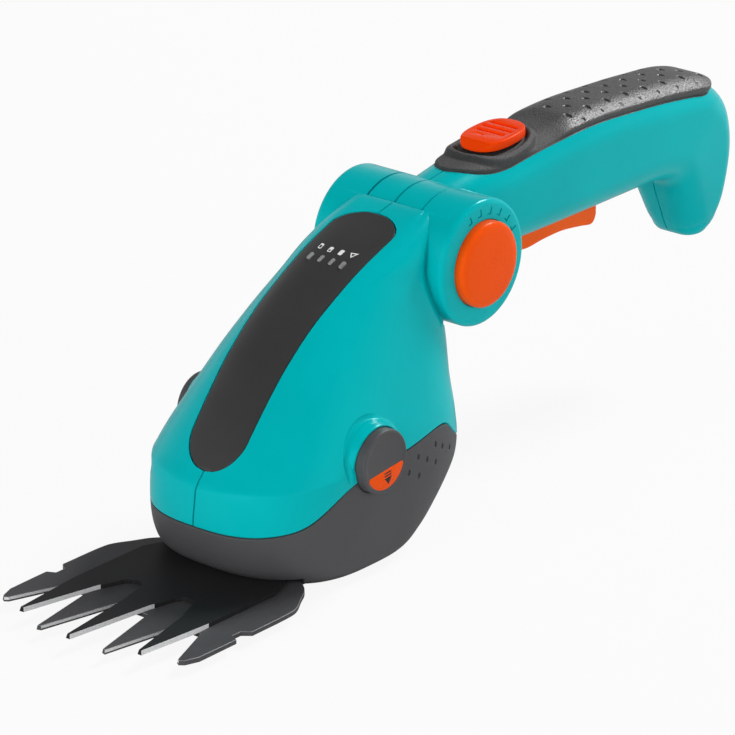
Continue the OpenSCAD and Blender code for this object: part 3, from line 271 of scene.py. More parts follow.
def place(piece, body, slot, finish, *nodes, angle=32):
    shade(piece, angle)
    piece.data.materials.clear()
    for one in finish if isinstance(finish, (list, tuple)) else [finish]:
        piece.data.materials.append(one)
    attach(piece, body)
    if nodes:
        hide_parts(*nodes)
    return piece


def mirrored(grid):
    return grid * np.array([-1.0, 1.0, 1.0])


# Finishes

def tint(code):
    # colour written as on a paint card, turned into light values
    parts = [int(code[i:i + 2], 16) / 255 for i in (1, 3, 5)]
    return tuple(c / 12.92 if c <= 0.04045 else ((c + 0.055) / 1.055) ** 2.4 for c in parts) + (1.0,)


class Wire:
    # a socket in a finish; sums on it add Math nodes
    def __init__(self, tree, socket=None):
        self.tree = tree
        self.socket = socket

    def node(self, kind, settings=None, sockets=None, out=0):
        made = self.tree.nodes.new(kind)
        for name, value in (settings or {}).items():
            setattr(made, name, value)
        for name, value in (sockets or {}).items():
            if isinstance(value, Wire):
                self.tree.links.new(value.socket, made.inputs[name])
            else:
                made.inputs[name].default_value = value
        return Wire(self.tree, made.outputs[out])

    def sum(self, operation, a, b):
        return self.node("ShaderNodeMath", {"operation": operation}, {0: a, 1: b})

    def __add__(self, other):
        return self.sum("ADD", self, other)

    def __radd__(self, other):
        return self.sum("ADD", other, self)

    def __sub__(self, other):
        return self.sum("SUBTRACT", self, other)

    def __rsub__(self, other):
        return self.sum("SUBTRACT", other, self)

    def __mul__(self, other):
        return self.sum("MULTIPLY", self, other)

    def blend(self, a, b):
        return self.node("ShaderNodeMix", {"data_type": "RGBA"}, {0: self, 6: a, 7: b}, out=2)

    def between(self, low, high):
        return self.node("ShaderNodeMapRange", {"interpolation_type": "SMOOTHSTEP"},
                         {0: self, 1: low, 2: high, 3: 0.0, 4: 1.0})


def newFinish(name, colour, **uniform):
    # material with its shader, the place on the object, and the shader's fixed values set
    finish = bpy.data.materials.new(name)
    finish.use_nodes = True
    finish.diffuse_color = colour
    tree = finish.node_tree
    shader = tree.nodes["Principled BSDF"]
    for key, value in uniform.items():
        shader.inputs[key.replace("_", " ")].default_value = value
    spot = Wire(tree).node("ShaderNodeTexCoord", out=3)
    return finish, shader, spot


def feed(shader, **wires):
    tree = shader.id_data
    for key, wire in wires.items():
        tree.links.new(wire.socket, shader.inputs[key.replace("_", " ")])


def stretch(spot, scale):
    return spot.node("ShaderNodeMapping", {"vector_type": "POINT"}, {0: spot, 3: scale})


def noise(spot, scale, detail=2.0, roughness=0.5):
    return spot.node("ShaderNodeTexNoise", {},
                     {"Vector": spot, "Scale": scale, "Detail": detail, "Roughness": roughness})


def bump(height, strength, distance):
    return height.node("ShaderNodeBump", {}, {"Strength": strength, "Distance": distance, "Height": height})


def mouldedFinish(name, look):
    # moulded plastic: slow drift of colour, fine skin, and gloss that varies a little
    finish, shader, spot = newFinish(name, tint(look["colour"]), Specular_IOR_Level=look["gloss"],
                                     Specular_Tint=tint(look.get("sheen", "#FFFFFF")))
    drift = noise(spot, 22.0, 3.0)
    skin = noise(spot, look["skinScale"], 2.0, 0.6)
    feed(shader,
         Base_Color=drift.between(0.3, 0.7).blend(tint(look["shade"]), tint(look["colour"])),
         Roughness=look["rough"] + (skin - 0.5) * look["roughVary"] + (drift - 0.5) * 0.06,
         Normal=bump(skin, look["skinStrength"], look["skinDepth"] * millimetre))
    return finish


tealLook = {"colour": "#00BCC0", "shade": "#00B5BA", "skinScale": 1500.0, "skinStrength": 0.08,
            "skinDepth": 0.03, "rough": 0.22, "roughVary": 0.06, "gloss": 0.2, "sheen": "#8CFFFF"}
orangeLook = {"colour": "#FF5A10", "shade": "#F8520C", "skinScale": 1500.0, "skinStrength": 0.12,
              "skinDepth": 0.03, "rough": 0.28, "roughVary": 0.06, "gloss": 0.14, "sheen": "#FFC08C"}
# deeper red copy of the orange for the thumb lock: painted shade, the red that the orange takes in shade
thumbPaintedShadeLook = dict(orangeLook, colour="#FF4807", shade="#F74206")
# lighter copy of the orange for the trigger: painted light, brightening it where it sits in the shade under
# the handle
triggerPaintedLightLook = dict(orangeLook, colour="#FF6212", shade="#FA5B0E")
darkLook = {"colour": "#505052", "shade": "#4B4B4D", "skinScale": 2600.0, "skinStrength": 0.5,
            "skinDepth": 0.05, "rough": 0.48, "roughVary": 0.22, "gloss": 0.4}
panelLook = {"colour": "#3B3B3C", "shade": "#363637", "skinScale": 3000.0, "skinStrength": 0.25,
             "skinDepth": 0.03, "rough": 0.38, "roughVary": 0.14, "gloss": 0.7}
blackLook = {"colour": "#2B2B2C", "shade": "#262627", "skinScale": 2200.0, "skinStrength": 0.4,
             "skinDepth": 0.05, "rough": 0.5, "roughVary": 0.2, "gloss": 0.3}
gearLook = {"colour": "#E8E4DA", "shade": "#DDD7CA", "skinScale": 1800.0, "skinStrength": 0.2,
            "skinDepth": 0.03, "rough": 0.42, "roughVary": 0.12, "gloss": 0.3}
markLook = {"colour": "#3A3533", "shade": "#34302E", "skinScale": 2500.0, "skinStrength": 0.2,
            "skinDepth": 0.02, "rough": 0.45, "roughVary": 0.1, "gloss": 0.2}
printLook = {"colour": "#FAFAFA", "shade": "#F0F2F2", "skinScale": 2500.0, "skinStrength": 0.15,
             "skinDepth": 0.02, "rough": 0.5, "roughVary": 0.1, "gloss": 0.2}

tealPlastic = mouldedFinish("tealPlastic", tealLook)
orangePlastic = mouldedFinish("orangePlastic", orangeLook)
thumbPaintedShadePlastic = mouldedFinish("thumbPaintedShadePlastic", thumbPaintedShadeLook)
triggerPaintedLightPlastic = mouldedFinish("triggerPaintedLightPlastic", triggerPaintedLightLook)
darkPlastic = mouldedFinish("darkPlastic", darkLook)
panelPlastic = mouldedFinish("panelPlastic", panelLook)
blackPlastic = mouldedFinish("blackPlastic", blackLook)
gearPlastic = mouldedFinish("gearPlastic", gearLook)
markPaint = mouldedFinish("markPaint", markLook)
printPaint = mouldedFinish("printPaint", printLook)


def gripFinish(look):
    # soft rubber: pebbled grain over the whole skin, duller in front of the palm swell
    finish, shader, spot = newFinish("softGrip", tint(look["colour"]), Specular_IOR_Level=look["gloss"])
    pebbles = spot.node("ShaderNodeTexVoronoi", {"feature": "SMOOTH_F1"},
                        {"Vector": spot, "Scale": look["grainScale"], "Smoothness": 0.5})
    drift = noise(spot, 60.0, 3.0)
    grain = noise(spot, look["grainScale"] * 2.4, 2.0)
    along = spot.node("ShaderNodeSeparateXYZ", {}, {"Vector": spot}, out=1)
    back = along.between(look["dullFrom"], look["dullTo"])
    mottle = (pebbles * 0.7 + drift * 0.5).between(0.2, 0.8)
    feed(shader,
         Base_Color=mottle.blend(tint(look["colour"]), tint(look["shade"])),
         Roughness=look["rough"] + (grain - 0.5) * 0.3 + (1.0 - back) * look["dull"],
         Normal=bump(pebbles * -0.8 + grain * 0.5, look["depth"], 0.2 * millimetre))
    return finish


gripLook = {"colour": "#3D3D3E", "shade": "#313132", "grainScale": 1500.0, "rough": 0.4, "gloss": 1.0,
            "depth": 0.85, "dull": 0.32, "dullFrom": 0.130, "dullTo": 0.141}
softGrip = gripFinish(gripLook)


def metalFinish(name, look):
    # drawn or ground metal: fine lines one way, faint blotches
    finish, shader, spot = newFinish(name, tint(look["colour"]), Metallic=look["metal"],
                                     Specular_IOR_Level=look.get("gloss", 0.5))
    lines = noise(stretch(spot, look["lines"]), look["lineScale"], 3.0)
    blotch = noise(spot, 70.0, 3.0)
    mottle = (lines * 0.6 + blotch * 0.4).between(0.25, 0.75)
    feed(shader,
         Base_Color=mottle.blend(tint(look["shade"]), tint(look["colour"])),
         Roughness=look["rough"] + (lines - 0.5) * look["roughVary"] + (blotch - 0.5) * 0.12,
         Normal=bump(lines, look["lineStrength"], 0.03 * millimetre))
    return finish


steelLook = {"colour": "#C3C6CA", "shade": "#A9ADB2", "metal": 1.0, "lines": (1.0, 8.0, 8.0),
             "lineScale": 320.0, "rough": 0.32, "roughVary": 0.2, "lineStrength": 0.3}
canLook = {"colour": "#B4B8BC", "shade": "#A2A6AB", "metal": 1.0, "lines": (6.0, 6.0, 0.6),
           "lineScale": 260.0, "rough": 0.38, "roughVary": 0.18, "lineStrength": 0.25}
alloyLook = {"colour": "#A5A8AC", "shade": "#909499", "metal": 1.0, "lines": (0.6, 9.0, 1.0),
             "lineScale": 260.0, "rough": 0.42, "roughVary": 0.2, "lineStrength": 0.3}
brassLook = {"colour": "#D0A94E", "shade": "#B88F3A", "metal": 1.0, "lines": (8.0, 1.0, 1.0),
             "lineScale": 300.0, "rough": 0.34, "roughVary": 0.18, "lineStrength": 0.25}
coatLook = {"colour": "#2B2B2C", "shade": "#242425", "metal": 0.0, "lines": (9.0, 1.0, 1.0),
            "lineScale": 180.0, "rough": 0.5, "roughVary": 0.16, "lineStrength": 0.15, "gloss": 0.12}
greyCoatLook = dict(coatLook, colour="#525254", shade="#4A4A4C")
# light grey for the lower blade's upper edge: a painted highlight
paintedHighlightLook = {"colour": "#9C9D9E", "shade": "#7E8081", "metal": 0.2, "lines": (9.0, 1.0, 1.0),
            "lineScale": 300.0, "rough": 0.45, "roughVary": 0.2, "lineStrength": 0.2, "gloss": 0.4}
# bare ground steel for the tooth flanks; its near-white is partly a painted reflection of the bright
# surroundings
groundAndPaintedReflectionLook = {"colour": "#F0F0F0", "shade": "#D6D8D9", "metal": 0.25, "lines": (1.0, 14.0, 1.0),
              "lineScale": 420.0, "rough": 0.36, "roughVary": 0.25, "lineStrength": 0.3}
steel = metalFinish("plainSteel", steelLook)
canSteel = metalFinish("motorCan", canLook)
plateAlloy = metalFinish("plateAlloy", alloyLook)
brass = metalFinish("turnedBrass", brassLook)
blackCoat = metalFinish("blackBlade", coatLook)
greyCoat = metalFinish("greyBlade", greyCoatLook)
paintedHighlightCoat = metalFinish("paintedHighlightEdge", paintedHighlightLook)
groundAndPaintedReflection = metalFinish("groundEdgeAndPaintedReflection", groundAndPaintedReflectionLook)


def lampFinish(look):
    # frosted light bars: faint ribs across and a drifting tone, with a weak glow in their own grey: painted
    # light, as the bars are not lit
    finish, shader, spot = newFinish("lampBar", tint(look["colour"]), Emission_Strength=0.05)
    ribs = spot.node("ShaderNodeTexWave", {"wave_type": "BANDS", "bands_direction": "X"},
                     {"Vector": spot, "Scale": 900.0, "Distortion": 0.4})
    drift = noise(spot, 500.0)
    colour = (ribs * 0.4 + drift * 0.6).between(0.2, 0.8).blend(tint(look["shade"]), tint(look["colour"]))
    feed(shader, Base_Color=colour, Emission_Color=colour, Roughness=0.26 + drift * 0.1,
         Normal=bump(ribs, 0.2, 0.03 * millimetre))
    return finish


lampLook = {"colour": "#A2A5A5", "shade": "#777A7A"}
lampBar = lampFinish(lampLook)


def boardFinish(look):
    # circuit board: lacquer with copper tracks and tinned pads
    finish, shader, spot = newFinish("circuitBoard", tint(look["lacquer"]))
    tracks = spot.node("ShaderNodeTexBrick", {"offset": 0.35}, {
        "Vector": spot, "Color1": (0, 0, 0, 1), "Color2": (0, 0, 0, 1), "Mortar": (1, 1, 1, 1),
        "Scale": 260.0, "Mortar Size": 0.05, "Brick Width": 0.9, "Row Height": 0.42})
    cells = spot.node("ShaderNodeTexVoronoi", {"feature": "F1"}, {"Vector": spot, "Scale": 380.0})
    pads = 1.0 - cells.between(0.14, 0.2)
    track = tracks.node("ShaderNodeRGBToBW", {}, {0: tracks})
    base = track.blend(tint(look["lacquer"]), tint(look["track"]))
    feed(shader, Base_Color=pads.blend(base, tint(look["tin"])), Metallic=pads * 0.9,
         Roughness=0.42 - pads * 0.12, Normal=bump(track * 0.5 + pads, 0.4, 0.05 * millimetre))
    return finish


boardLook = {"lacquer": "#1F6B3A", "track": "#2F8A50", "tin": "#C9C9C4"}
circuitBoard = boardFinish(boardLook)


def cellFinish(look):
    # shrink-wrapped cell: wrinkled film
    finish, shader, spot = newFinish("cellWrap", tint(look["film"]))
    wrinkle = noise(stretch(spot, (1.0, 0.25, 0.25)), 260.0, 3.0)
    drift = noise(spot, 60.0)
    feed(shader, Base_Color=drift.between(0.3, 0.7).blend(tint(look["shade"]), tint(look["film"])),
         Roughness=0.28 + wrinkle * 0.12, Normal=bump(wrinkle, 0.35, 0.08 * millimetre))
    return finish


cellLook = {"film": "#2F63B5", "shade": "#2A59A3"}
cellWrap = cellFinish(cellLook)
print("finishes made")


# Pod: the shape that the base and both housings share

pod = {
    "front": [(0, -27), (7.05, -42), (12.98, -47.4), (24, -50), (34.23, -48.6), (38.6, -47.1), (42.6, -44.2),
              (51.12, -38.154), (61.912, -29.782), (74.976, -18.276), (88.04, -2.831), (99.4, 19),
              (108.7, 46.8), (110.3, 53)],
    "rear": [(0, 27), (5, 36.5), (11, 46), (20, 57.2), (26, 62.2), (33, 63), (42, 61.4), (55, 60),
             (68.6, 59.8), (110.3, 58)],
    "width": [(0, 28.5), (3, 34.968), (8, 37.026), (15, 37.614), (24, 37.712), (42, 38.3), (56, 34.6),
              (69, 30.6), (82, 26.2), (92, 23.3), (99.4, 22.3), (110.3, 17.3)],
    "middle": [(0, 0), (42, 2), (69, 22), (89, 39.6), (99.4, 48.6), (110.3, 55.6)],
    "power": [(0, 2.7), (42, 2.72), (56, 2.62), (75, 2.5), (99.4, 2.45), (110.3, 3.2)],
    "rearPower": 3.3,
    "seam": [(-50, 24), (-37, 24.6), (-26, 27.06), (-12, 36), (0, 39.3), (17, 40.965), (34, 43), (41, 41.9),
             (47.4, 36.1), (54, 32.1), (63, 31.5)],
    "belt": [(0, 37.3), (14, 38.6), (46, 39.6), (76, 41.0), (90, 42.0)],
    "beltRise": 0.85,
    "beltReach": 4.2,
    "top": 110.3,
    "wall": 2.0,
    "edge": 0.5,
    "partLine": 0.9,
    "crown": 6.8,
    "crownDrop": 3.0,
}


def podSection(z, ahead):
    # middle, reach and squareness of the level at z, ahead of the middle or behind it
    middle = smoothLine(pod["middle"], z)
    reach = np.where(ahead, middle - smoothLine(pod["front"], z), smoothLine(pod["rear"], z) - middle)
    return middle, reach, np.where(ahead, smoothLine(pod["power"], z), pod["rearPower"])


def podPoint(turn, z, inset=0.0):
    # place on the skin, turned from the front (0) by the side (90) to the rear (180)
    turn, z = np.broadcast_arrays(np.asarray(turn, float), np.asarray(z, float))
    ahead = turn <= 90
    middle, reach, power = podSection(z, ahead)
    wide = np.maximum(smoothLine(pod["width"], z) - inset, 0.4)
    a = np.radians(turn)
    along = np.maximum(reach - inset, 0.4) * np.abs(np.cos(a)) ** (2 / power)
    return np.stack([wide * np.abs(np.sin(a)) ** (2 / power), middle + np.where(ahead, -along, along), z], -1)


def podFace(x, z):
    # place along of the front at a place across and a height
    middle, reach, power = podSection(z, True)
    share = np.minimum(np.abs(x) / smoothLine(pod["width"], z), 0.999)
    return middle - reach * (1 - share ** power) ** (1 / power)


def podFaceOut(x, z, step=0.05):
    # direction straight out of the front
    slopeX = (podFace(x + step, z) - podFace(x - step, z)) / (2 * step)
    slopeZ = (podFace(x, z + step) - podFace(x, z - step)) / (2 * step)
    out = np.stack([slopeX, -np.ones_like(slopeX), slopeZ], -1)
    return out / np.linalg.norm(out, axis=-1, keepdims=True)


def podHalf(y, z):
    # half width of the pod at a place along and a height
    y, z = np.broadcast_arrays(np.asarray(y, float), np.asarray(z, float))
    middle, reach, power = podSection(z, y < smoothLine(pod["middle"], z))
    share = np.minimum(np.abs(y - middle) / reach, 0.999)
    return smoothLine(pod["width"], z) * (1 - share ** power) ** (1 / power)


def evenTurns(count, power):
    # turns from 0 to 90 that are evenly spaced along the skin
    a = np.linspace(0, np.pi / 2, 4000)
    across, along = np.sin(a) ** (2 / power), np.cos(a) ** (2 / power)
    run = np.cumsum(np.hypot(np.diff(across, prepend=0), np.diff(along, prepend=1)))
    return np.degrees(np.interp(np.linspace(0, run[-1], count + 1), run, a))


podTurns = np.concatenate([evenTurns(84, 2.65), 180 - evenTurns(66, 3.3)[::-1][1:]])
seamHeights = smoothLine(pod["seam"], podPoint(podTurns, 42.0)[:, 1])

hinge = {"y": 67.6, "z": 91.3, "drum": 22.7, "halfWidth": 29.0, "rim": 2.0, "tongue": 12.0, "gap": 0.3,
         "button": 15.3, "face": 33.0, "pocket": 19.5, "shoulder": 1.3, "reveal": 0.3, "ticks": 18.4,
         "skin": 2.4, "cupWall": 2.6, "cup": 22.4}
hingePlace = (hinge["y"], hinge["z"])
release = {"z": 42.7, "radius": 11.4, "face": 42.05, "gap": 0.3, "edge": 0.9, "dish": 0.2, "flange": 12.7,
           "flangeBack": 32.6, "flangeFace": 34.0, "nose": 2.4, "noseEnd": 25.45, "markRadius": 9.8,
           "markDrop": 2.9, "markTilt": 5.8, "markCorner": 0.9}
releasePlace = (0.0, release["z"])


def splitAtSeam(grid, depth):
    # narrow groove where the two halves meet in the middle
    first, last = grid[:, :1].copy(), grid[:, -1:].copy()
    near, far = first.copy(), last.copy()
    first[..., 0] = last[..., 0] = 0.02
    near[..., 0] = far[..., 0] = 0.34
    first += depth[0]
    last += depth[1]
    return np.concatenate([first, near, grid[:, 1:-1], far, last], 1)


def housingGrid(inset):
    share = 1 - (1 - np.linspace(0, 1, 150)) ** 1.4
    low = seamHeights + (0.1 if inset else 0.55)
    z = low[None] + (pod["top"] - 0.5 - low)[None] * share[:, None]
    turns = podTurns[None]
    grid = podPoint(turns, z, inset if inset else crownDrop(turns, z) - beltRise(turns, z))
    under = podPoint(podTurns, seamHeights + 0.1, inset + pod["edge"])[None]
    last = np.full(len(podTurns), pod["top"])
    inward = inset + 0.5 + (0 if inset else crownDrop(podTurns, last))
    crown = podPoint(podTurns, last - inset * 0.3, inward)[None]
    front, rear = crown[0, 0], crown[0, -1]
    share = (0.1 + 0.8 * podTurns / 180)[:, None]
    roof = (front + (rear - front) * share)[None]
    grid = np.concatenate([under, grid, crown, roof])
    groove = pod["partLine"]
    flat = ease(92, 108, grid[:, :1, 2])
    push = groove * np.stack([np.zeros_like(flat), 1 - 0.7 * flat, -0.9 * flat], -1)
    return splitAtSeam(grid, (push, np.array([0, -groove, 0])))


def crownDrop(turn, z):
    # the sides turn in towards the hinge at the top
    share = np.clip((z - pod["top"] + pod["crown"]) / pod["crown"], 0, 0.99)
    return pod["crownDrop"] * (1 - np.sqrt(1 - share ** 2)) * ease(38, 60, turn)


def beltRise(turn, z):
    # soft crease round the front, where the upright band turns into the slope
    turn, z = np.broadcast_arrays(turn, z)
    away = np.abs(z - smoothLine(pod["belt"], np.minimum(turn, 90)))
    keep = ease(96, 84, turn) * ease(26, 30, z)
    return pod["beltRise"] * np.exp(-away / pod["beltReach"]) * keep


collar = {"inner": 10.8, "flat": 12.15, "outer": 14.6, "root": 33.0, "top": 38.75, "front": 38.2,
          "first": 4.0, "last": 208.0, "scoop": 1.6, "scoopRadius": 14.7, "scoopSink": 0.45}


def collarHeights(turns, radius):
    a = np.radians(turns)
    return podHalf(radius * np.cos(a), release["z"] + radius * np.sin(a))


def collarPiece(side):
    # raised lip over and ahead of the release button, sunk into the side at both ends
    first, last = collar["first"], collar["last"]
    turns = np.linspace(first, last, 130)
    body = collarHeights(turns, collar["outer"])
    fade = ease(first, first + 30, turns) * ease(last, last - 26, turns)
    top = collar["top"] + (collar["front"] - collar["top"]) * ease(110, 190, turns)
    top = body - 0.3 + (top - body + 0.3) * fade
    fall = top - body
    profile = [(collar["inner"], None), (collar["inner"], 0.0), (collar["flat"], 0.0), (12.35, 0.04),
               (12.55, 0.14), (12.75, 0.29), (12.98, 0.5), (13.25, 0.7), (13.6, 0.86), (14.05, 0.96),
               (14.6, 1.02), (15.4, 1.4), (15.4, None)]
    rings = []
    for a, high, drop in zip(np.radians(turns), top, fall):
        rings.append([(collar["root"] if share is None else high - share * max(drop, 0.1), r * math.cos(a),
                       release["z"] + r * math.sin(a)) for r, share in profile])
    return stackPiece("collar", np.array(rings) * np.array([side, 1.0, 1.0]))


def collarScoop(side):
    # crescent hollow at the foot of the lip
    turns = np.linspace(64, 196, 90)
    out = 1 - ease(64, 96, turns) * ease(196, 168, turns)
    radius, thick = np.full(90, collar["scoopRadius"]), np.full(90, collar["scoop"])
    x = collarHeights(turns, radius) + thick - collar["scoopSink"] * (1 - out) + 0.4 * out
    return ringTube(releasePlace, turns, radius, x, thick, side)


def discValley(side):
    # hollow between the pod's side and the hinge disc
    turns = np.linspace(138, 242, 100)
    a = np.radians(turns)
    radius = hinge["drum"] + 0.3
    y, z = hinge["y"] + radius * np.cos(a), hinge["z"] + radius * np.sin(a)
    thick = 2.7 - 1.4 * ease(216, 242, turns)
    x = podHalf(np.minimum(y, 56.0), z) + 0.5 * thick + 1.5 * ease(172, 140, turns) + ease(226, 242, turns)
    return ringTube(hingePlace, turns, np.full(100, radius), x, thick, side)


def discTicks(side):
    # six small marks cut into the face of the disc, over the button
    cutters = []
    hook = [(-1.3, -0.28), (1.4, -0.28), (1.4, 0.28), (-0.75, 0.28), (-0.75, 1.7), (-1.3, 1.7)]
    for turn in (26, 43, 60, 77, 94, 111):
        a = math.radians(turn)
        u, v = (math.cos(a), math.sin(a)), (-math.sin(a), math.cos(a))
        out = hinge["ticks"]
        outline = [((out + p) * u[0] + q * v[0], (out + p) * u[1] + q * v[1]) for p, q in hook]
        ends = span(side, hinge["halfWidth"] - 0.5, hinge["halfWidth"] + 1.0)
        cutters.append(sidePlate("cutter", outline, *ends, hingePlace))
    return cutters


screw = {"pod": [(52.5, 50.0), (-38.5, 35.5), (40.0, 68.0)], "boss": 3.4, "post": 3.9, "recess": 3.0,
         "seat": 4.0, "head": 3.0, "floor": 3.0,
         "handle": [(94.8, 96.36, 1.7), (177.0, 97.99, 5.0), (221.0, 88.0, 9.5)]}


def screwBoss(spot, inner):
    # post round a recess, with its outer end along the skin
    turns = fullTurn(48)
    y, z = spot[0] + screw["post"] * np.cos(turns), spot[1] + screw["post"] * np.sin(turns)
    return stackPiece("cutter", np.array([np.stack([np.full(48, -inner), y, z], -1),
                                          np.stack([0.9 - podHalf(y, z), y, z], -1)]))


def podScrewEnd(y, z):
    # outer end of a screw's own post, inside the lowest skin round it
    turns = np.radians(np.arange(0, 360, 45))
    return float(podHalf(y + screw["boss"] * np.cos(turns), z + screw["boss"] * np.sin(turns)).min()) - 0.8


def rimArc(radius, face, edge, count):
    # round edge of a turned piece, from its side to its face
    return [(radius - edge + edge * math.cos(a), face - edge + edge * math.sin(a))
            for a in np.linspace(0, math.pi / 2, count)]


def cheekPiece(side):
    # round end of the hinge drum
    drum, inner, wide = hinge["drum"], hinge["tongue"], hinge["halfWidth"]
    profile = [(0, inner), (drum - 0.35, inner), (drum, inner + 0.35)] + rimArc(drum, wide, hinge["rim"], 9)
    return turnedPiece("cheek", profile + [(0, wide)], hingePlace, 160, side)


def housingPiece(name, side):
    flip = mirrored if side < 0 else np.asarray
    piece = slabPiece(name, flip(housingGrid(0.0)), flip(housingGrid(pod["wall"])))
    carve(piece, [collarPiece(side)], "UNION")
    carve(piece, [collarScoop(side), discValley(side)])
    carve(piece, [cheekPiece(side)], "UNION")
    slot = span(side, -1.0, hinge["tongue"] + hinge["gap"] / 2 + hinge["reveal"])
    tools = [rodCutter(hinge["drum"] + hinge["gap"], *slot, hingePlace, 160),
             rodCutter(hinge["button"] + 0.25, *span(side, hinge["pocket"], 40.0), hingePlace, 128),
             rodCutter(release["radius"] + release["gap"], *span(side, 26.0, 46.0), releasePlace, 128),
             panelSlab("cutter", -3.0, 1.9, 0.16)]
    carve(piece, tools + discTicks(side))
    if side < 0:
        # recesses of the screws, which go in from this side
        for spot in screw["pod"]:
            end = podScrewEnd(*spot)
            floor = end - screw["seat"] - screw["head"]
            carve(piece, [screwBoss(spot, floor - screw["floor"])], "UNION")
            carve(piece, [rodCutter(screw["recess"], -42.0, -floor, spot, 48)])
    return place(piece, "pod", "teal_plastic", tealPlastic, name)


panel = {"low": 42.6, "high": 108.6, "lowHalf": 11.8, "highHalf": 13.6, "round": 13.0, "sink": 0.12,
         "edge": 0.35, "thick": 1.3, "lamps": 99.4, "pitch": 4.72, "printUp": 5.3}


def panelRun(low, high):
    # heights up the panel's middle line, and the way along it to each
    fine = np.linspace(low, high, 1200)
    return fine, np.concatenate([[0], np.cumsum(np.hypot(np.diff(podFace(0.0, fine)), np.diff(fine)))])


def panelGrid(grow, rows=130, cols=49):
    # places on the skin under the panel, the way out of it, and the distance to the panel's edge
    fine, run = panelRun(panel["low"] - grow * 0.7, panel["high"] + grow * 0.4)
    length = run[-1]
    spaced = length * (0.5 - 0.5 * np.cos(np.linspace(0, np.pi, rows)))
    spaced = 0.35 * spaced + 0.65 * np.linspace(0, length, rows)
    z = np.interp(spaced, run, fine)
    climb = np.minimum(spaced / (0.8 * length), 1)
    wide = panel["lowHalf"] + (panel["highHalf"] - panel["lowHalf"]) * climb + grow
    ends = np.minimum(spaced, length - spaced)
    turned = np.sqrt(np.maximum(1 - (1 - ends / panel["round"]) ** 2, 0.0004))
    half = wide * np.where(ends >= panel["round"], 1, turned)
    across = np.sin(np.linspace(-np.pi / 2, np.pi / 2, cols)) * 0.5 + np.linspace(-1, 1, cols) * 0.5
    x = half[:, None] * across[None]
    z = np.broadcast_to(z[:, None], x.shape)
    rimGap = np.minimum(half[:, None] * (1 - np.abs(across[None])), ends[:, None])
    return np.stack([x, podFace(x, z), z], -1), podFaceOut(x, z), rimGap


def panelSlab(name, lift, depth, grow):
    spots, out, rimGap = panelGrid(grow)
    return slabPiece(name, spots - out * lift, spots - out * depth)


def displayPanel():
    spots, out, rimGap = panelGrid(-0.05)
    drop = panel["sink"] + panel["edge"] * (1 - np.sqrt(1 - (1 - np.clip(rimGap / 0.5, 0, 1)) ** 2))
    piece = slabPiece("displayPanel", spots - out * drop[..., None], spots - out * panel["thick"])
    return place(piece, "pod", "dark_plastic", panelPlastic, "display_panel")


def panelSpot(x, up, lift):
    # place on the panel: across, and up its slope from the row of lamps
    fine, run = panelRun(panel["low"], panel["high"])
    z = np.interp(np.interp(panel["lamps"], fine, run) + up, run, fine)
    return np.array([x, podFace(x, z), z]) + podFaceOut(x, z) * lift


def panelPrint():
    # pale level marks and a small warning triangle over the lamps
    bar = roundedBar(1.6, 2.7, 0.5)
    shapes = []
    for k, empty in enumerate((0.78, 0.45, 0.0)):
        x = (k - 1.5) * panel["pitch"]
        shapes.append((0, 0.06, [(x + p, panel["printUp"] + q) for p, q in bar]))
        if empty:
            shapes.append((1, 0.09, [(x + p, panel["printUp"] - 0.95 + empty * 0.95 + q)
                                     for p, q in roundedBar(0.9, 1.9 * empty, 0.3)]))
    x = 1.5 * panel["pitch"]
    for paint, lift, scale in ((0, 0.06, 1.0), (1, 0.09, 0.5)):
        corners = [(0.0, -1.6), (1.5, 1.05), (-1.5, 1.05)]
        shapes.append((paint, lift, [(x + p * scale, panel["printUp"] + q * scale) for p, q in corners]))
    points, faces, paints = [], [], []
    for paint, lift, outline in shapes:
        count, start = len(outline), len(points)
        for level in (-0.4, lift - panel["sink"]):
            points += [panelSpot(p, q, level) for p, q in outline]
        faces += prismFaces(count, start)
        paints += [paint] * (count + 2)
    piece = makePiece("panelPrint", points, faces)
    place(piece, "pod", "lamp", [printPaint, panelPlastic])
    for face, paint in zip(piece.data.polygons, paints):
        face.material_index = paint


def baseRing(z, inset):
    # closed ring round the pod
    half = podPoint(podTurns, z, inset)
    return np.concatenate([half, mirrored(half)[::-1][1:-1]])


# base: half the outline of the blades' recess, and the small finger hollows behind each release button
base = {
    "recess": [(62.5, -68.8), (62.5, -46.8), (38.9, -39.0), (35.0, -31.7), (27.2, -26.2), (24.0, -23.8),
               (24.0, 12.4)],
    "recessTop": 7.05,
    "dimples": [(32.4, 37.7), (37.2, 35.2), (43.2, 32.5), (22.0, 36.5), (27.4, 33.8), (33.0, 30.8),
                (17.2, 32.3), (23.1, 29.2)],
    "dimpleSize": (0.95, 0.75, 1.25),
}


def basePan():
    top = seamHeights - 0.08
    rings = [baseRing(top * share ** 1.5, 0.0) for share in np.linspace(0, 0.985, 64)]
    rings += [baseRing(top - 0.45, 0.0), baseRing(top - 0.12, 0.15), baseRing(top, pod["edge"])]
    rings += [baseRing(top - 0.1, 2.3), baseRing(top - 1.5, 3.0), baseRing(np.full_like(top, 10.0), 4.0)]
    piece = stackPiece("basePan", np.array(rings))
    outline = base["recess"] + [(-x, y) for x, y in base["recess"][::-1]]
    tools = [prismPiece("cutter", outline, -1.0, base["recessTop"])]
    for side in (-1, 1):
        ends = span(side, 24.0, 46.0)
        tools.append(rodCutter(release["radius"] + release["gap"], *ends, releasePlace, 128))
        for y, z in base["dimples"]:
            tools.append(beadCutter((side * (float(podHalf(y, z)) + 0.15), y, z), base["dimpleSize"]))
    carve(piece, tools)
    return place(piece, "pod", "dark_plastic", darkPlastic, "base_pan")


basePan()
housingPiece("housing_left", 1)
housingPiece("housing_right", -1)
displayPanel()
panelPrint()
print("pod made")


# Buttons on the pod

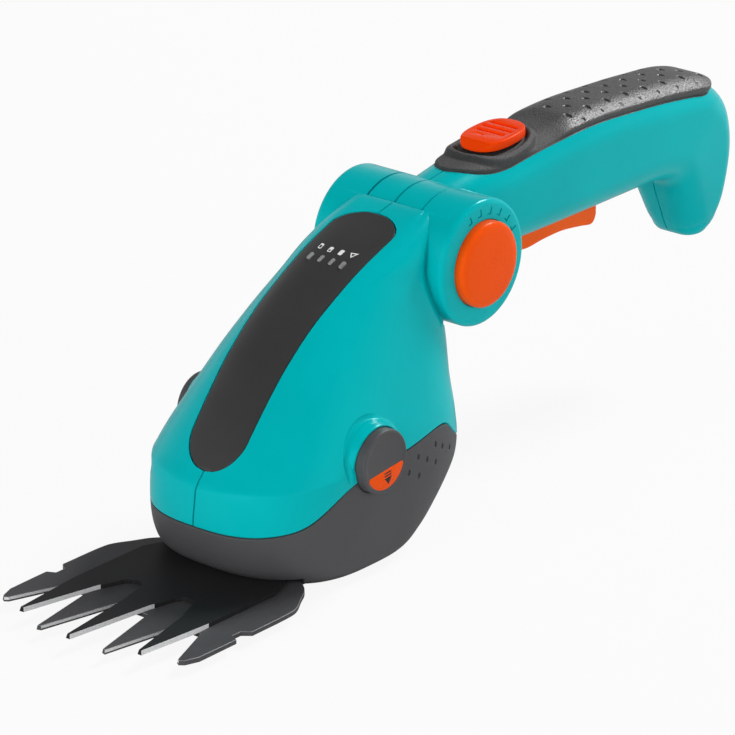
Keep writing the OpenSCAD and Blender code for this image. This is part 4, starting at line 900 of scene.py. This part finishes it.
def markOutline():
    # part of a disc below a tilted chord, with its two corners rounded
    reach, drop, corner = release["markRadius"], release["markDrop"], release["markCorner"]
    inner, low = reach - corner, drop + corner
    half = math.sqrt(inner ** 2 - low ** 2)
    tip = math.atan2(-low, half)
    spots = []
    for a in np.linspace(math.pi / 2, tip, 9):
        spots.append((half + corner * math.cos(a), -low + corner * math.sin(a)))
    for a in np.linspace(tip, -math.pi - tip, 40)[1:-1]:
        spots.append((reach * math.cos(a), reach * math.sin(a)))
    for a in np.linspace(-math.pi - tip, -1.5 * math.pi, 9):
        spots.append((-half + corner * math.cos(a), -low + corner * math.sin(a)))
    return spots


def tilted(outline):
    a = math.radians(release["markTilt"])
    return [(y * math.cos(a) - z * math.sin(a), y * math.sin(a) + z * math.cos(a)) for y, z in outline]


# arrow head and the two bars over it
releaseArrow = [[(-1.1, -5.9), (0.75, -8.5), (2.6, -5.9)],
                [(-1.0, -5.4), (-1.0, -4.9), (2.5, -4.9), (2.5, -5.4)],
                [(-1.0, -4.4), (-1.0, -3.9), (2.5, -3.9), (2.5, -4.4)]]


def releaseButton(side, word):
    r, face, flange, nose = release["radius"], release["face"], release["flange"], release["nose"]
    back, floor = release["flangeBack"], face - release["dish"]
    stem = [(0, release["noseEnd"]), (nose, release["noseEnd"]), (nose, back), (flange, back),
            (flange, release["flangeFace"]), (r, release["flangeFace"])]
    dish = [(r - 1.25, face - 0.05), (r - 1.6, face - 0.14), (r - 3.0, floor), (0, floor)]
    profile = stem + rimArc(r, face, release["edge"], 6) + dish
    body = "release_l" if side > 0 else "release_r"
    button = turnedPiece("releaseButton_" + word, profile, releasePlace, 128, side)
    place(button, body, "dark_plastic", darkPlastic, "release_button_" + word)
    ends = side * (face - 0.6), side * (face - 0.12)
    inlay = soften(sidePlate("releaseMark_" + word, tilted(markOutline()), *ends, releasePlace), 0.12)
    place(inlay, body, "orange_plastic", orangePlastic, "release_mark_" + word)
    ends = side * (face - 0.4), side * (face - 0.07)
    for index, shape in enumerate(releaseArrow):
        mark = sidePlate("releaseArrow%d_%s" % (index, word), tilted(shape), *ends, releasePlace)
        place(mark, body, "dark_plastic", markPaint)


def hingeButton(side, word):
    r, face = hinge["button"], hinge["face"]
    roof, wall = face - hinge["skin"], r - hinge["cupWall"]
    cup = [(0, roof), (wall, roof), (wall, hinge["cup"]), (r, hinge["cup"])]
    rim = [(r, face - 2.2), (r - 0.06, face - 1.75), (r - 0.28, face - 1.3), (r - 0.65, face - 0.9),
           (r - 1.1, face - 0.62)]
    dome = [(r * share, face - 0.55 * share ** 2) for share in (0.9, 0.75, 0.55, 0.3)]
    profile = cup + rim + dome + [(0, face)]
    button = turnedPiece("hingeButton_" + word, profile, hingePlace, 160, side)
    body = "hinge_button_l" if side > 0 else "hinge_button_r"
    place(button, body, "orange_plastic", orangePlastic, "hinge_button_" + word)


springs = {
    "release": {"radius": 3.6, "wire": 0.5, "foot": 23.25, "head": 32.55, "turns": 4, "keep": 0.75,
                "place": releasePlace},
    "hinge": {"radius": 9.4, "wire": 0.6, "foot": 19.55, "head": 30.55, "turns": 4, "keep": 0.76,
              "place": hingePlace},
}


def buttonSpring(kind, side, word):
    # round wire wound about the X axis
    spring = springs[kind]
    wire, foot, (y, z) = spring["wire"], spring["foot"], spring["place"]
    along = np.linspace(0, 1, 40 * spring["turns"] + 1)[:, None]
    around = fullTurn(16)[None]
    angle = 2 * np.pi * spring["turns"] * along
    reach = spring["radius"] + wire * np.cos(around)
    x = foot + wire + (spring["head"] - foot - 2 * wire) * along + wire * np.sin(around)
    rings = np.stack([side * x, y + reach * np.cos(angle), z + reach * np.sin(angle)], -1)
    coil = place(stackPiece(kind + "Spring_" + word, rings), "pod", "steel", steel, kind + "_spring_" + word)
    side * foot * millimetre
    y * millimetre
    z * millimetre
    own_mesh(coil)


for side, word in ((1, "left"), (-1, "right")):
    releaseButton(side, word)
    hingeButton(side, word)
    buttonSpring("release", side, word)
    buttonSpring("hinge", side, word)
print("buttons made")


# Handle: ribs from the upper edge to the lower one

handle = {
    "upper": [(0, (70, 112.6)), (1, (83.6, 114.7)), (2, (99.6, 116.4)), (3, (125.6, 118.4)),
              (4, (150, 119.7)), (5, (173, 119)), (6, (196, 117.6)), (7, (217.5, 114.7)), (8, (227, 110)),
              (9, (233.9, 102.3)), (10, (237.5, 88.8)), (11, (236, 72.096)), (12, (232.5, 62)),
              (13, (227, 55.6))],
    "lower": [(0, (70, 83.3)), (1, (83.6, 82.6)), (2, (99.6, 82.3)), (3, (124.6, 82.3)), (4, (147, 82.3)),
              (5, (168, 82.3)), (6, (187.5, 82.1)), (7, (198, 80.8)), (8, (202.9, 77.5)),
              (9, (205.2, 72.395)), (10, (207.8, 66.452)), (11, (210.9, 59.66)), (12, (213.2, 56)),
              (13, (215.3, 54.4))],
    "wide": [(0, 13), (1, 13.6), (2, 15), (3, 16), (6, 16), (8, 15.6), (11, 13.4), (12, 12), (13, 9.8)],
    "round": 11.0,
    "wall": 2.2,
    "partLine": 0.6,
}


def handleRibs(steps, inset):
    # half sections with rounded corners, from the top middle to the bottom middle
    top = smoothLine(handle["upper"], steps)
    low = smoothLine(handle["lower"], steps)
    height = np.linalg.norm(top - low, axis=-1)
    up = (top - low) / height[:, None]
    wide = smoothLine(handle["wide"], steps)
    bend = np.maximum(np.minimum(np.minimum(handle["round"], 0.48 * height), wide - 1) - inset, 0.5)
    wide, tall, bend = (wide - inset)[:, None], (height - 2 * inset)[:, None], bend[:, None]
    corner = np.radians(np.linspace(0, 90, 15))[None]
    flat = np.linspace(0, 1, 8)[None, :-1]
    side = np.linspace(0, 1, 8)[None, 1:-1]
    across = np.concatenate([flat * (wide - bend), wide - bend + bend * np.sin(corner), np.repeat(wide, 6, 1),
                             wide - bend + bend * np.cos(corner), (1 - flat - 1 / 7) * (wide - bend)], 1)
    along = np.concatenate([np.repeat(tall, 7, 1), tall - bend + bend * np.cos(corner),
                            tall - bend + (2 * bend - tall) * side, bend - bend * np.sin(corner),
                            np.zeros((len(steps), 7))], 1) + inset
    return np.stack([across, low[:, :1] + up[:, :1] * along, low[:, 1:] + up[:, 1:] * along], -1), up


def handleGrid(inset):
    last = 12.96 if inset == 0 else 12.65
    steps = np.linspace(0, last, 300)
    grid, up = handleRibs(steps, inset)
    # rounded foot of the hook
    heart = grid[-1].mean(0) * np.array([0, 1, 1])
    tip = []
    for share, drop in ((0.97, 0.25), (0.9, 0.45), (0.7, 0.55), (0.35, 0.6), (0.06, 0.6)):
        ring = heart + (grid[-1] - heart) * share
        ring[:, 2] -= drop if inset == 0 else 0.1 * (1 - share)
        tip.append(ring)
    grid = np.concatenate([grid, np.array(tip)])
    up = np.concatenate([up, np.repeat(up[-1:], 5, 0)])
    push = np.stack([np.zeros(len(up)), up[:, 0], up[:, 1]], -1)[:, None] * handle["partLine"]
    push[-5:] = 0
    return splitAtSeam(grid, (-push, push))


trigger = {"y": 103.6, "end": 161.6, "low": 75.0, "top": 86.8, "half": 6.2,
           "slotFront": 99.1, "slotEnd": 163.6, "slotLow": 76.0, "slotTop": 85.2, "slotGap": 0.35}
socket = {"y": 221.1, "hole": 4.25, "low": 50.0, "top": 70.0}


def tongueDisc(side):
    # half of the handle's own part of the hinge drum
    r, wide = hinge["drum"], hinge["tongue"] - hinge["gap"] / 2
    profile = [(0, 0.02), (r - 1.0, 0.02), (r - 1.0, 0.24), (r, 0.4), (r, wide - 0.35), (r - 0.35, wide),
               (0, wide)]
    return turnedPiece("tongue", profile, hingePlace, 160, side)


def handlePiece(name, side):
    flip = mirrored if side < 0 else np.asarray
    piece = slabPiece(name, flip(handleGrid(0.0)), flip(handleGrid(handle["wall"])))
    ends = span(side, hinge["tongue"] - hinge["gap"] / 2, 24.0)
    carve(piece, [rodCutter(hinge["drum"] + hinge["shoulder"], *ends, hingePlace, 160)])
    carve(piece, [tongueDisc(side)], "UNION")
    near, far = span(side, -1.0, trigger["half"] + trigger["slotGap"])
    carve(piece, [boxCutter((near, trigger["slotFront"], trigger["slotLow"]),
                            (far, trigger["slotEnd"], trigger["slotTop"])),
                  discCutter(socket["hole"], socket["y"], socket["low"], socket["top"])])
    if side < 0:
        for y, z, rib in screw["handle"]:
            end = float(smoothLine(handle["wide"], rib)) - 1.6
            floor = end - screw["head"]
            carve(piece, [rodCutter(screw["post"], -end, screw["floor"] - floor, (y, z), 48)], "UNION")
            carve(piece, [rodCutter(screw["recess"], -24.0, -floor, (y, z), 48)])
    return place(piece, "handle", "teal_plastic", tealPlastic, name)


handlePiece("handle_left", 1)
handlePiece("handle_right", -1)
print("handle made")


# Grip pad, thumb lock and trigger; a row of the pad's dimples has its place across, its start and its size

pad = {
    "first": 0.86, "last": 7.75, "half": 14.5, "taper": 2.0, "thick": 1.0, "edge": 1.1, "foot": 0.4,
    "film": 0.06, "frontRound": 0.21, "rearRound": 0.13, "length": 144.0,
    "ridge": 138.5, "ridgeBow": 4.5, "swell": 0.6, "tailSwell": 0.5,
    "dimples": [(-12.0, 147.9, 0.5), (-7.9, 149.7, 0.85), (-2.9, 143.3, 1.0), (2.2, 147.9, 1.0),
                (7.3, 141.5, 0.9), (10.8, 145.5, 0.5)],
    "dimplePitch": 11.0, "dimpleEnd": 219.0, "dimpleDeep": 0.95,
}
# a groove of the lock has its place along, half its length, its place across and its depth
thumb = {
    "y": 109.1, "tilt": 4.0, "long": 25.5, "wide": 18.0, "high": 3.6, "travel": 3.0, "rim": 1.6,
    "edge": 0.7, "noseLow": 0.7, "noseSlope": 42.0, "noseLong": 12.0,
    "grooves": [(-1.2, 6.2, 0.0, 2.0), (2.6, 6.6, 0.0, 2.0), (6.4, 6.0, 0.0, 2.0), (-4.6, 1.4, -1.6, 0.8)],
}
handleTop = smoothLine(handle["upper"], np.linspace(0, 4, 400))
thumb["z"] = float(np.interp(thumb["y"], handleTop[:, 0], handleTop[:, 1])) + pad["thick"]


def padPoint(s, x, lift):
    # place over the handle's top: along its ribs, across, and lifted off it
    top = smoothLine(handle["upper"], s)
    low = smoothLine(handle["lower"], s)
    up = (top - low) / np.linalg.norm(top - low, axis=-1, keepdims=True)
    wide = smoothLine(handle["wide"], s)
    bend = np.minimum(handle["round"], wide - 1)
    over = np.maximum(np.abs(x) - wide + bend, 0)
    tilt = np.arcsin(np.minimum(over / bend, 1)) * np.sign(x)
    down = bend - np.sqrt(np.maximum(bend ** 2 - over ** 2, 0)) - lift * np.cos(tilt)
    return np.stack([x + lift * np.sin(tilt), top[..., 0] - up[..., 0] * down,
                     top[..., 1] - up[..., 1] * down], -1)


def padHalf(t):
    # half width of the pad along it, with round ends
    def rounded(share):
        return np.sqrt(np.maximum(1 - (1 - np.minimum(share, 1)) ** 2, 0.004))
    return (pad["half"] - pad["taper"] * (1 - t)) * np.minimum(
        rounded(t / pad["frontRound"]), rounded((1 - t) / pad["rearRound"]))


def ovalGap(x, y, wide, long):
    # distance past the edge of the lock's oval, roughly in millimetres
    reach = (np.abs(x / (wide / 2)) ** 2.5 + np.abs(y / (long / 2)) ** 2.5) ** (1 / 2.5)
    return (reach - 1) * np.minimum(wide, long) / 2


def gripPad():
    rows, cols = 460, 97
    t = np.linspace(0, 1, rows)
    t = 0.75 * t + 0.25 * (0.5 - 0.5 * np.cos(np.pi * t))
    s = pad["first"] + (pad["last"] - pad["first"]) * t
    half = padHalf(t)
    share = np.linspace(-1, 1, cols)
    share = 0.6 * share + 0.4 * np.sin(share * np.pi / 2)
    x = half[:, None] * share[None]
    s = np.broadcast_to(s[:, None], x.shape)
    y = padPoint(s, x, np.zeros_like(x))[..., 1]
    rimGap = np.minimum(half[:, None] * (1 - np.abs(share[None])),
                        np.minimum(t, 1 - t)[:, None] * pad["length"])
    # palm swell behind the thumb's hollow, where the edge turns over in less width
    past = y - pad["ridge"] + pad["ridgeBow"] * (x / 13) ** 2
    dip = ease(3, -10, past) * ease(112, 119, y)
    inside = np.clip((rimGap - pad["foot"]) / (pad["edge"] * (1 - 0.5 * dip)), 0, 1)
    edge = np.sqrt(1 - (1 - inside) ** 2)
    lift = pad["film"] + (pad["thick"] - pad["film"]) * edge
    lift += (pad["swell"] * ease(-7, 4, past) - np.minimum(0.4 + 0.4 * (x / 12) ** 2, 0.8) * dip) * edge
    lift += pad["tailSwell"] * ease(194, 214, y) * edge
    # oval seat and rim round the lock
    along, wide, long = y - thumb["y"] + thumb["travel"] / 2, thumb["wide"], thumb["long"] + thumb["travel"]
    outer = ovalGap(x, along, wide + 4.6, long + 4.6)
    inner = ovalGap(x, along, wide + 1.2, long + 1.2)
    ring = ease(1.3, -0.3, outer) * ease(-0.5, 0.4, inner)
    lift = lift + thumb["rim"] * ring
    lift = np.where(inner < 0, np.minimum(lift, 0.75 + 0.85 * ease(-0.5, 0.4, inner)), lift)
    # drop-shaped dimples on a slanted lattice, smaller towards the sides
    for across, start, size in pad["dimples"]:
        for middle in np.arange(start, pad["dimpleEnd"], pad["dimplePitch"]):
            dx, dy = (x - across) / size, (y - middle) / size
            wide = np.where(dx > 0, 1.9, 1.2)
            long = np.where(dx > 0, 0.95 * (1 - 0.7 * ease(0, 1.9, dx)), 0.95)
            hollow = np.maximum(1 - (dx / wide) ** 2 - (dy / long) ** 2, 0)
            lift = lift - pad["dimpleDeep"] * size * np.sqrt(hollow)
    piece = slabPiece("gripPad", padPoint(s, x, lift), padPoint(s, x, np.full_like(x, -0.3)))
    return place(piece, "handle", "soft_grip", softGrip, "grip_pad", angle=60)


def atThumb(points):
    # from the lock's own place to the handle's top
    a = math.radians(thumb["tilt"])
    x, y, z = points[..., 0], points[..., 1], points[..., 2]
    return np.stack([x, thumb["y"] + y * math.cos(a) - z * math.sin(a),
                     thumb["z"] + y * math.sin(a) + z * math.cos(a)], -1)


def capRing(outline, inset, high):
    # the lock's outline drawn in, at a height
    shrink = np.array([1 - inset / (thumb["wide"] / 2), 1 - inset / (thumb["long"] / 2)])
    return np.concatenate([outline * shrink, np.full((len(outline), 1), high)], 1)


def thumbLock():
    turns = fullTurn(120)
    across, along = np.cos(turns), np.sin(turns)
    outline = np.stack([np.sign(across) * np.abs(across) ** 0.8 * thumb["wide"] / 2,
                        np.sign(along) * np.abs(along) ** 0.8 * thumb["long"] / 2], -1)
    edge = thumb["edge"]
    rings = [capRing(outline, 0.3, 0.35), capRing(outline, 0.0, 0.6)]
    for a in np.linspace(0, math.pi / 2, 6):
        rings.append(capRing(outline, edge * (1 - math.cos(a)), thumb["high"] - edge + edge * math.sin(a)))
    piece = stackPiece("thumbLock", np.array(rings))
    # steep nose, three grooves across the top and one short mark before them
    start, slope = -thumb["long"] / 2 - 1.0, math.tan(math.radians(thumb["noseSlope"]))
    low, end = thumb["noseLow"] - slope, start + thumb["noseLong"]
    nose = [(start, low), (end, low + thumb["noseLong"] * slope), (end, 20.0), (start, 20.0)]
    tools = [sidePlate("cutter", nose, -14.0, 14.0)]
    for y, half, middle, deep in thumb["grooves"]:
        groove = [(middle + p, y + q) for p, q in roundedBar(2 * half, 1.7 if half > 2 else 0.8, 0.39)]
        tools.append(prismPiece("cutter", groove, thumb["high"] - deep, thumb["high"] + 2.0))
    carve(piece, tools)
    soften(piece, 0.22, 35, 2)
    reshape(piece, atThumb)
    return place(piece, "thumb", "orange_plastic", thumbPaintedShadePlastic, "thumb_lock", angle=40)


def triggerPiece():
    y, low, end, top, half = (trigger[key] for key in ("y", "low", "end", "top", "half"))
    line = [(0, (y - 3.6, 81.8)), (1, (y + 3, 79.3)), (2, (y + 16, low + 0.9)), (3, (y + 27, low + 1.5)),
            (4, (y + 38, low + 1.7)), (5, (y + 49, low + 0.4)), (6, (end - 3.4, low - 0.55)),
            (7, (end - 1.2, low + 0.4)), (8, (end, low + 2.6))]
    under = [tuple(p) for p in smoothLine(line, np.linspace(0, 8, 70))]
    outline = under + [(end, top - 0.5), (end - 1, top), (y - 3.2, top)]
    piece = soften(sidePlate("trigger", outline, -half, half), 1.1, 50, 4)
    return place(piece, "trigger", "orange_plastic", triggerPaintedLightPlastic, "trigger", angle=40)


gripPad()
thumbLock()
triggerPiece()
print("grip, lock and trigger made")


# Blades

blade = {"low": 3.4, "thick": 1.6, "gap": 0.06, "tip": -100.8, "grind": 0.55, "pivot": -33.8,
         "upperHole": 3.05, "lowerHole": 3.02, "bareFrom": 0.35, "paintedHighlightFrom": 0.9, "bareReach": 38.8}
tip = blade["tip"]
lowerEdge = [(7, tip + 20), (13.6, tip - 9.2), (15.2, tip - 9.7), (20.4, tip + 20), (30.4, tip + 20),
             (37.6, tip + 0.5), (39, tip - 0.4), (40.6, tip + 0.8), (42.5, tip + 6), (42.5, tip + 24),
             (39.5, tip + 25.5), (39.5, tip + 29.5), (42.5, tip + 32), (42.5, tip + 52), (41.1, tip + 56.5),
             (37.9, tip + 61.5), (34.1, tip + 68.8), (26.6, tip + 74), (23.6, tip + 76.5), (23.6, 12)]
gullet = tip + 35.7
upperEdge = [(0.9, tip - 10.9), (5.2, tip + 23), (7.4, gullet - 2.6), (9, gullet - 0.7), (11.3, gullet),
             (13.6, gullet - 0.7), (15.4, gullet - 2.6), (19, tip + 24), (25.4, tip - 5.1), (27.2, tip - 5.2),
             (29.6, tip + 18), (29.6, tip + 58), (26, tip + 66), (18, tip + 72), (11, tip + 78), (11, 9),
             (9, 10.8)]


def roundCorners(outline, start):
    # cuts the corners of the last stretch twice, so that the wings run smoothly
    head, tail = outline[:start], outline[start:]
    for again in range(2):
        cut = [tail[0]]
        for a, b in zip(tail, tail[1:]):
            cut += [(a[0] * 0.75 + b[0] * 0.25, a[1] * 0.75 + b[1] * 0.25),
                    (a[0] * 0.25 + b[0] * 0.75, a[1] * 0.25 + b[1] * 0.75)]
        tail = cut + [tail[-1]]
    return head + tail


def bladePiece(name, edge, low, thick, groundTo, levels):
    # plate with its teeth ground back; each level has its height and its way in
    outline = edge + [(-x, y) for x, y in edge[::-1]]
    fine = []
    for i, (x, y) in enumerate(outline):
        nx, ny = outline[(i + 1) % len(outline)]
        fine.append((x, y))
        if (y - groundTo) * (ny - groundTo) < 0:
            t = (groundTo - y) / (ny - y)
            fine.append((x + (nx - x) * t, groundTo))
    spots = np.array(fine)
    before, after = np.roll(spots, 1, 0), np.roll(spots, -1, 0)
    a, b = spots - before, after - spots
    a /= np.linalg.norm(a, axis=1, keepdims=True)
    b /= np.linalg.norm(b, axis=1, keepdims=True)
    left = np.stack([-(a + b)[:, 1], (a + b)[:, 0]], -1)
    left /= np.maximum(np.linalg.norm(left, axis=1, keepdims=True), 1e-6)
    area = np.sum(spots[:, 0] * after[:, 1] - after[:, 0] * spots[:, 1])
    inward = left if area > 0 else -left
    ground = ease(groundTo + 0.1, groundTo - 6, spots[:, 1])
    rings = []
    for share, grind, paintedHighlightBevel in levels:
        moved = spots + inward * (grind * ground + paintedHighlightBevel)[:, None]
        rings.append(np.concatenate([moved, np.full((len(spots), 1), low + thick * share)], 1))
    return stackPiece(name, np.array(rings))


def paintEdges(piece, groundTo, bare, paintedHighlightBevel=10.0):
    # bare ground steel on the flanks of the teeth over a height, in a near-white that is partly a painted
    # reflection, and a painted highlight in light grey along the upper edge
    for face in piece.data.polygons:
        spot = face.center / millimetre
        flank = abs(face.normal.x) > 0.35 and abs(spot.x) < blade["bareReach"]
        if abs(face.normal.z) > 0.9:
            continue
        if spot.z > paintedHighlightBevel and spot.y < tip + 72:
            face.material_index = 2
        elif spot.z > bare and spot.y < groundTo and flank:
            face.material_index = 1


def upperBlade():
    low = blade["low"] + blade["thick"] + blade["gap"]
    groundTo = tip + 25
    piece = bladePiece("upperBlade", upperEdge, low, blade["thick"] - blade["gap"], groundTo,
                       [(0, 0, 0), (1, blade["grind"], 0)])
    carve(piece, [discCutter(blade["upperHole"], blade["pivot"], 0, 10)])
    place(piece, "cutter", "black_blade", [blackCoat, groundAndPaintedReflection], "upper_blade", angle=20)
    paintEdges(piece, groundTo, low)


def lowerBlade():
    low, thick = blade["low"], blade["thick"]
    groundTo, bare, paintedHighlightBevel = tip + 19.5, blade["bareFrom"], blade["paintedHighlightFrom"]
    piece = bladePiece("lowerBlade", roundCorners(lowerEdge, 12), low, thick, groundTo,
                       [(0, 0, 0), (bare, 0.13, 0), (paintedHighlightBevel, 0.3, 0), (1, 0.33, 0.16)])
    carve(piece, [discCutter(blade["lowerHole"], blade["pivot"], 0, 10)])
    place(piece, "pod", "grey_blade", [greyCoat, groundAndPaintedReflection, paintedHighlightCoat], "lower_blade", angle=20)
    # the light grey upper edge is a painted highlight; the near-white flanks are partly a painted reflection
    paintEdges(piece, groundTo, low + bare * thick, low + paintedHighlightBevel * thick)


lowerBlade()
upperBlade()
print("blades made")


# Nodes that keep their own solids

carried = {
    lampBar: ["led_lenses"],
    circuitBoard: ["display_board", "control_board"],
    cellWrap: ["battery_cell"],
    darkPlastic: ["battery_cradle", "blade_carrier"],
    canSteel: ["motor"],
    steel: ["motor_shaft", "plate_screws", "gear_axle", "crank_pin", "housing_screws", "blade_pivot",
            "hinge_bolt", "hinge_nut", "handle_screws", "thumb_spring", "trigger_pin", "trigger_spring"],
    plateAlloy: ["motor_plate"],
    gearPlastic: ["drive_gear"],
    brass: ["motor_pinion", "detent_ring"],
    blackPlastic: ["micro_switch", "charge_socket"],
}
for finish, names in carried.items():
    for name in names:
        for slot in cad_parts[name].material_slots:
            slot.material = finish
print("carried nodes finished")


# Stage, light and camera

studio = {
    "floorGlow": 0.91, "floorReach": 12000.0, "skyLow": 0.9, "skyTop": 0.08, "mirrored": 0.8,
    "aim": (0.0, 0.05, 0.06),
    # place, width, power, and whether it shows in glossy surfaces
    "sideLamp": ((2.1, 0.0, 0.65), 1.5, 9.5, False),
    "frontLamp": ((-0.1, -2.1, 0.75), 1.5, 26.0, False),
    "rimLamp": ((0.3, 1.85, 1.78), 0.7, 45.0, True),
}
photo = {"place": (1.0256, -1.1864, 0.6904), "right": (0.7673, 0.6413, 0.0), "up": (-0.2372, 0.2838, 0.9291),
         "back": (0.5958, -0.7129, 0.3699), "lens": 244.9, "sensor": 36.0}


def cameraRay(tree):
    # 1 where the camera looks straight at a surface or through something clear
    seen = Wire(tree).node("ShaderNodeLightPath", out=0)
    through = Wire(tree, seen.socket.node.outputs["Is Transmission Ray"])
    return seen.sum("MAXIMUM", seen, through)


def floorFinish():
    # pale floor that shows white to the camera and still takes the shadow
    finish, shader, spot = newFinish("paleFloor", tint("#DADADA"), Specular_IOR_Level=0.05)
    tree = finish.node_tree
    speck = noise(spot, 40.0, 2.0)
    gloss = spot.node("ShaderNodeLightPath", out="Is Glossy Ray")
    pale = speck.blend(tint("#D6D6D6"), tint("#DDDDDD"))
    dimmed = (gloss * (1.0 - studio["mirrored"])).blend(pale, tint("#000000"))
    feed(shader, Base_Color=dimmed, Roughness=0.8 + speck * 0.1)
    glow = spot.node("ShaderNodeEmission", {}, {"Color": (1, 1, 1, 1), "Strength": 1.0})
    mixed = spot.node("ShaderNodeMixShader", {}, {0: cameraRay(tree) * studio["floorGlow"],
                                                  1: Wire(tree, shader.outputs[0]), 2: glow})
    tree.links.new(mixed.socket, tree.nodes["Material Output"].inputs["Surface"])
    return finish


def stageFloor():
    rows = 25
    line = np.linspace(-studio["floorReach"], studio["floorReach"], rows)
    x, y = np.meshgrid(line, line, indexing="ij")
    grid = np.stack([x, y, np.full((rows, rows), -0.02)], -1)
    floor = makePiece("paleFloor", grid.reshape(-1, 3), gridFaces(rows, rows))
    floor.data.materials.append(floorFinish())


def softLamp(name):
    spot, size, power, glossy = studio[name]
    data = bpy.data.lights.new(name, "AREA")
    data.shape = "DISK"
    data.size = size
    data.energy = power
    lamp = bpy.data.objects.new(name, data)
    bpy.context.scene.collection.objects.link(lamp)
    lamp.location = spot
    lamp.visible_glossy = glossy
    lamp.rotation_euler = (Vector(studio["aim"]) - Vector(spot)).to_track_quat("-Z", "Y").to_euler()


def lightWorld():
    world = bpy.data.worlds.new("studio")
    bpy.context.scene.world = world
    world.use_nodes = True
    tree = world.node_tree
    tree.nodes.clear()
    # brighter towards the horizon, as in a light tent, and white to the camera
    way = Wire(tree).node("ShaderNodeTexCoord", out=0)
    climb = way.node("ShaderNodeSeparateXYZ", {}, {"Vector": way}, out=2).between(0.05, 0.7)
    level = studio["skyLow"] + climb * (studio["skyTop"] - studio["skyLow"])
    gloss = Wire(tree).node("ShaderNodeLightPath", out="Is Glossy Ray")
    level = level * (1.0 - gloss * (1.0 - studio["mirrored"]))
    strength = level + cameraRay(tree) * (1.0 - level)
    sky = Wire(tree).node("ShaderNodeBackground", {}, {"Color": (1, 1, 1, 1), "Strength": strength})
    out = tree.nodes.new("ShaderNodeOutputWorld")
    tree.links.new(sky.socket, out.inputs["Surface"])


def photoCamera():
    data = bpy.data.cameras.new("photoCamera")
    data.sensor_width = photo["sensor"]
    data.lens = photo["lens"]
    data.clip_end = 100.0
    camera = bpy.data.objects.new("photoCamera", data)
    bpy.context.scene.collection.objects.link(camera)
    camera.rotation_euler = Matrix((photo["right"], photo["up"], photo["back"])).transposed().to_euler()
    camera.location = photo["place"]
    bpy.context.scene.camera = camera


stageFloor()
lightWorld()
for name in ("sideLamp", "frontLamp", "rimLamp"):
    softLamp(name)
photoCamera()
bpy.context.scene.view_settings.view_transform = "Standard"
print("stage, light and camera set")
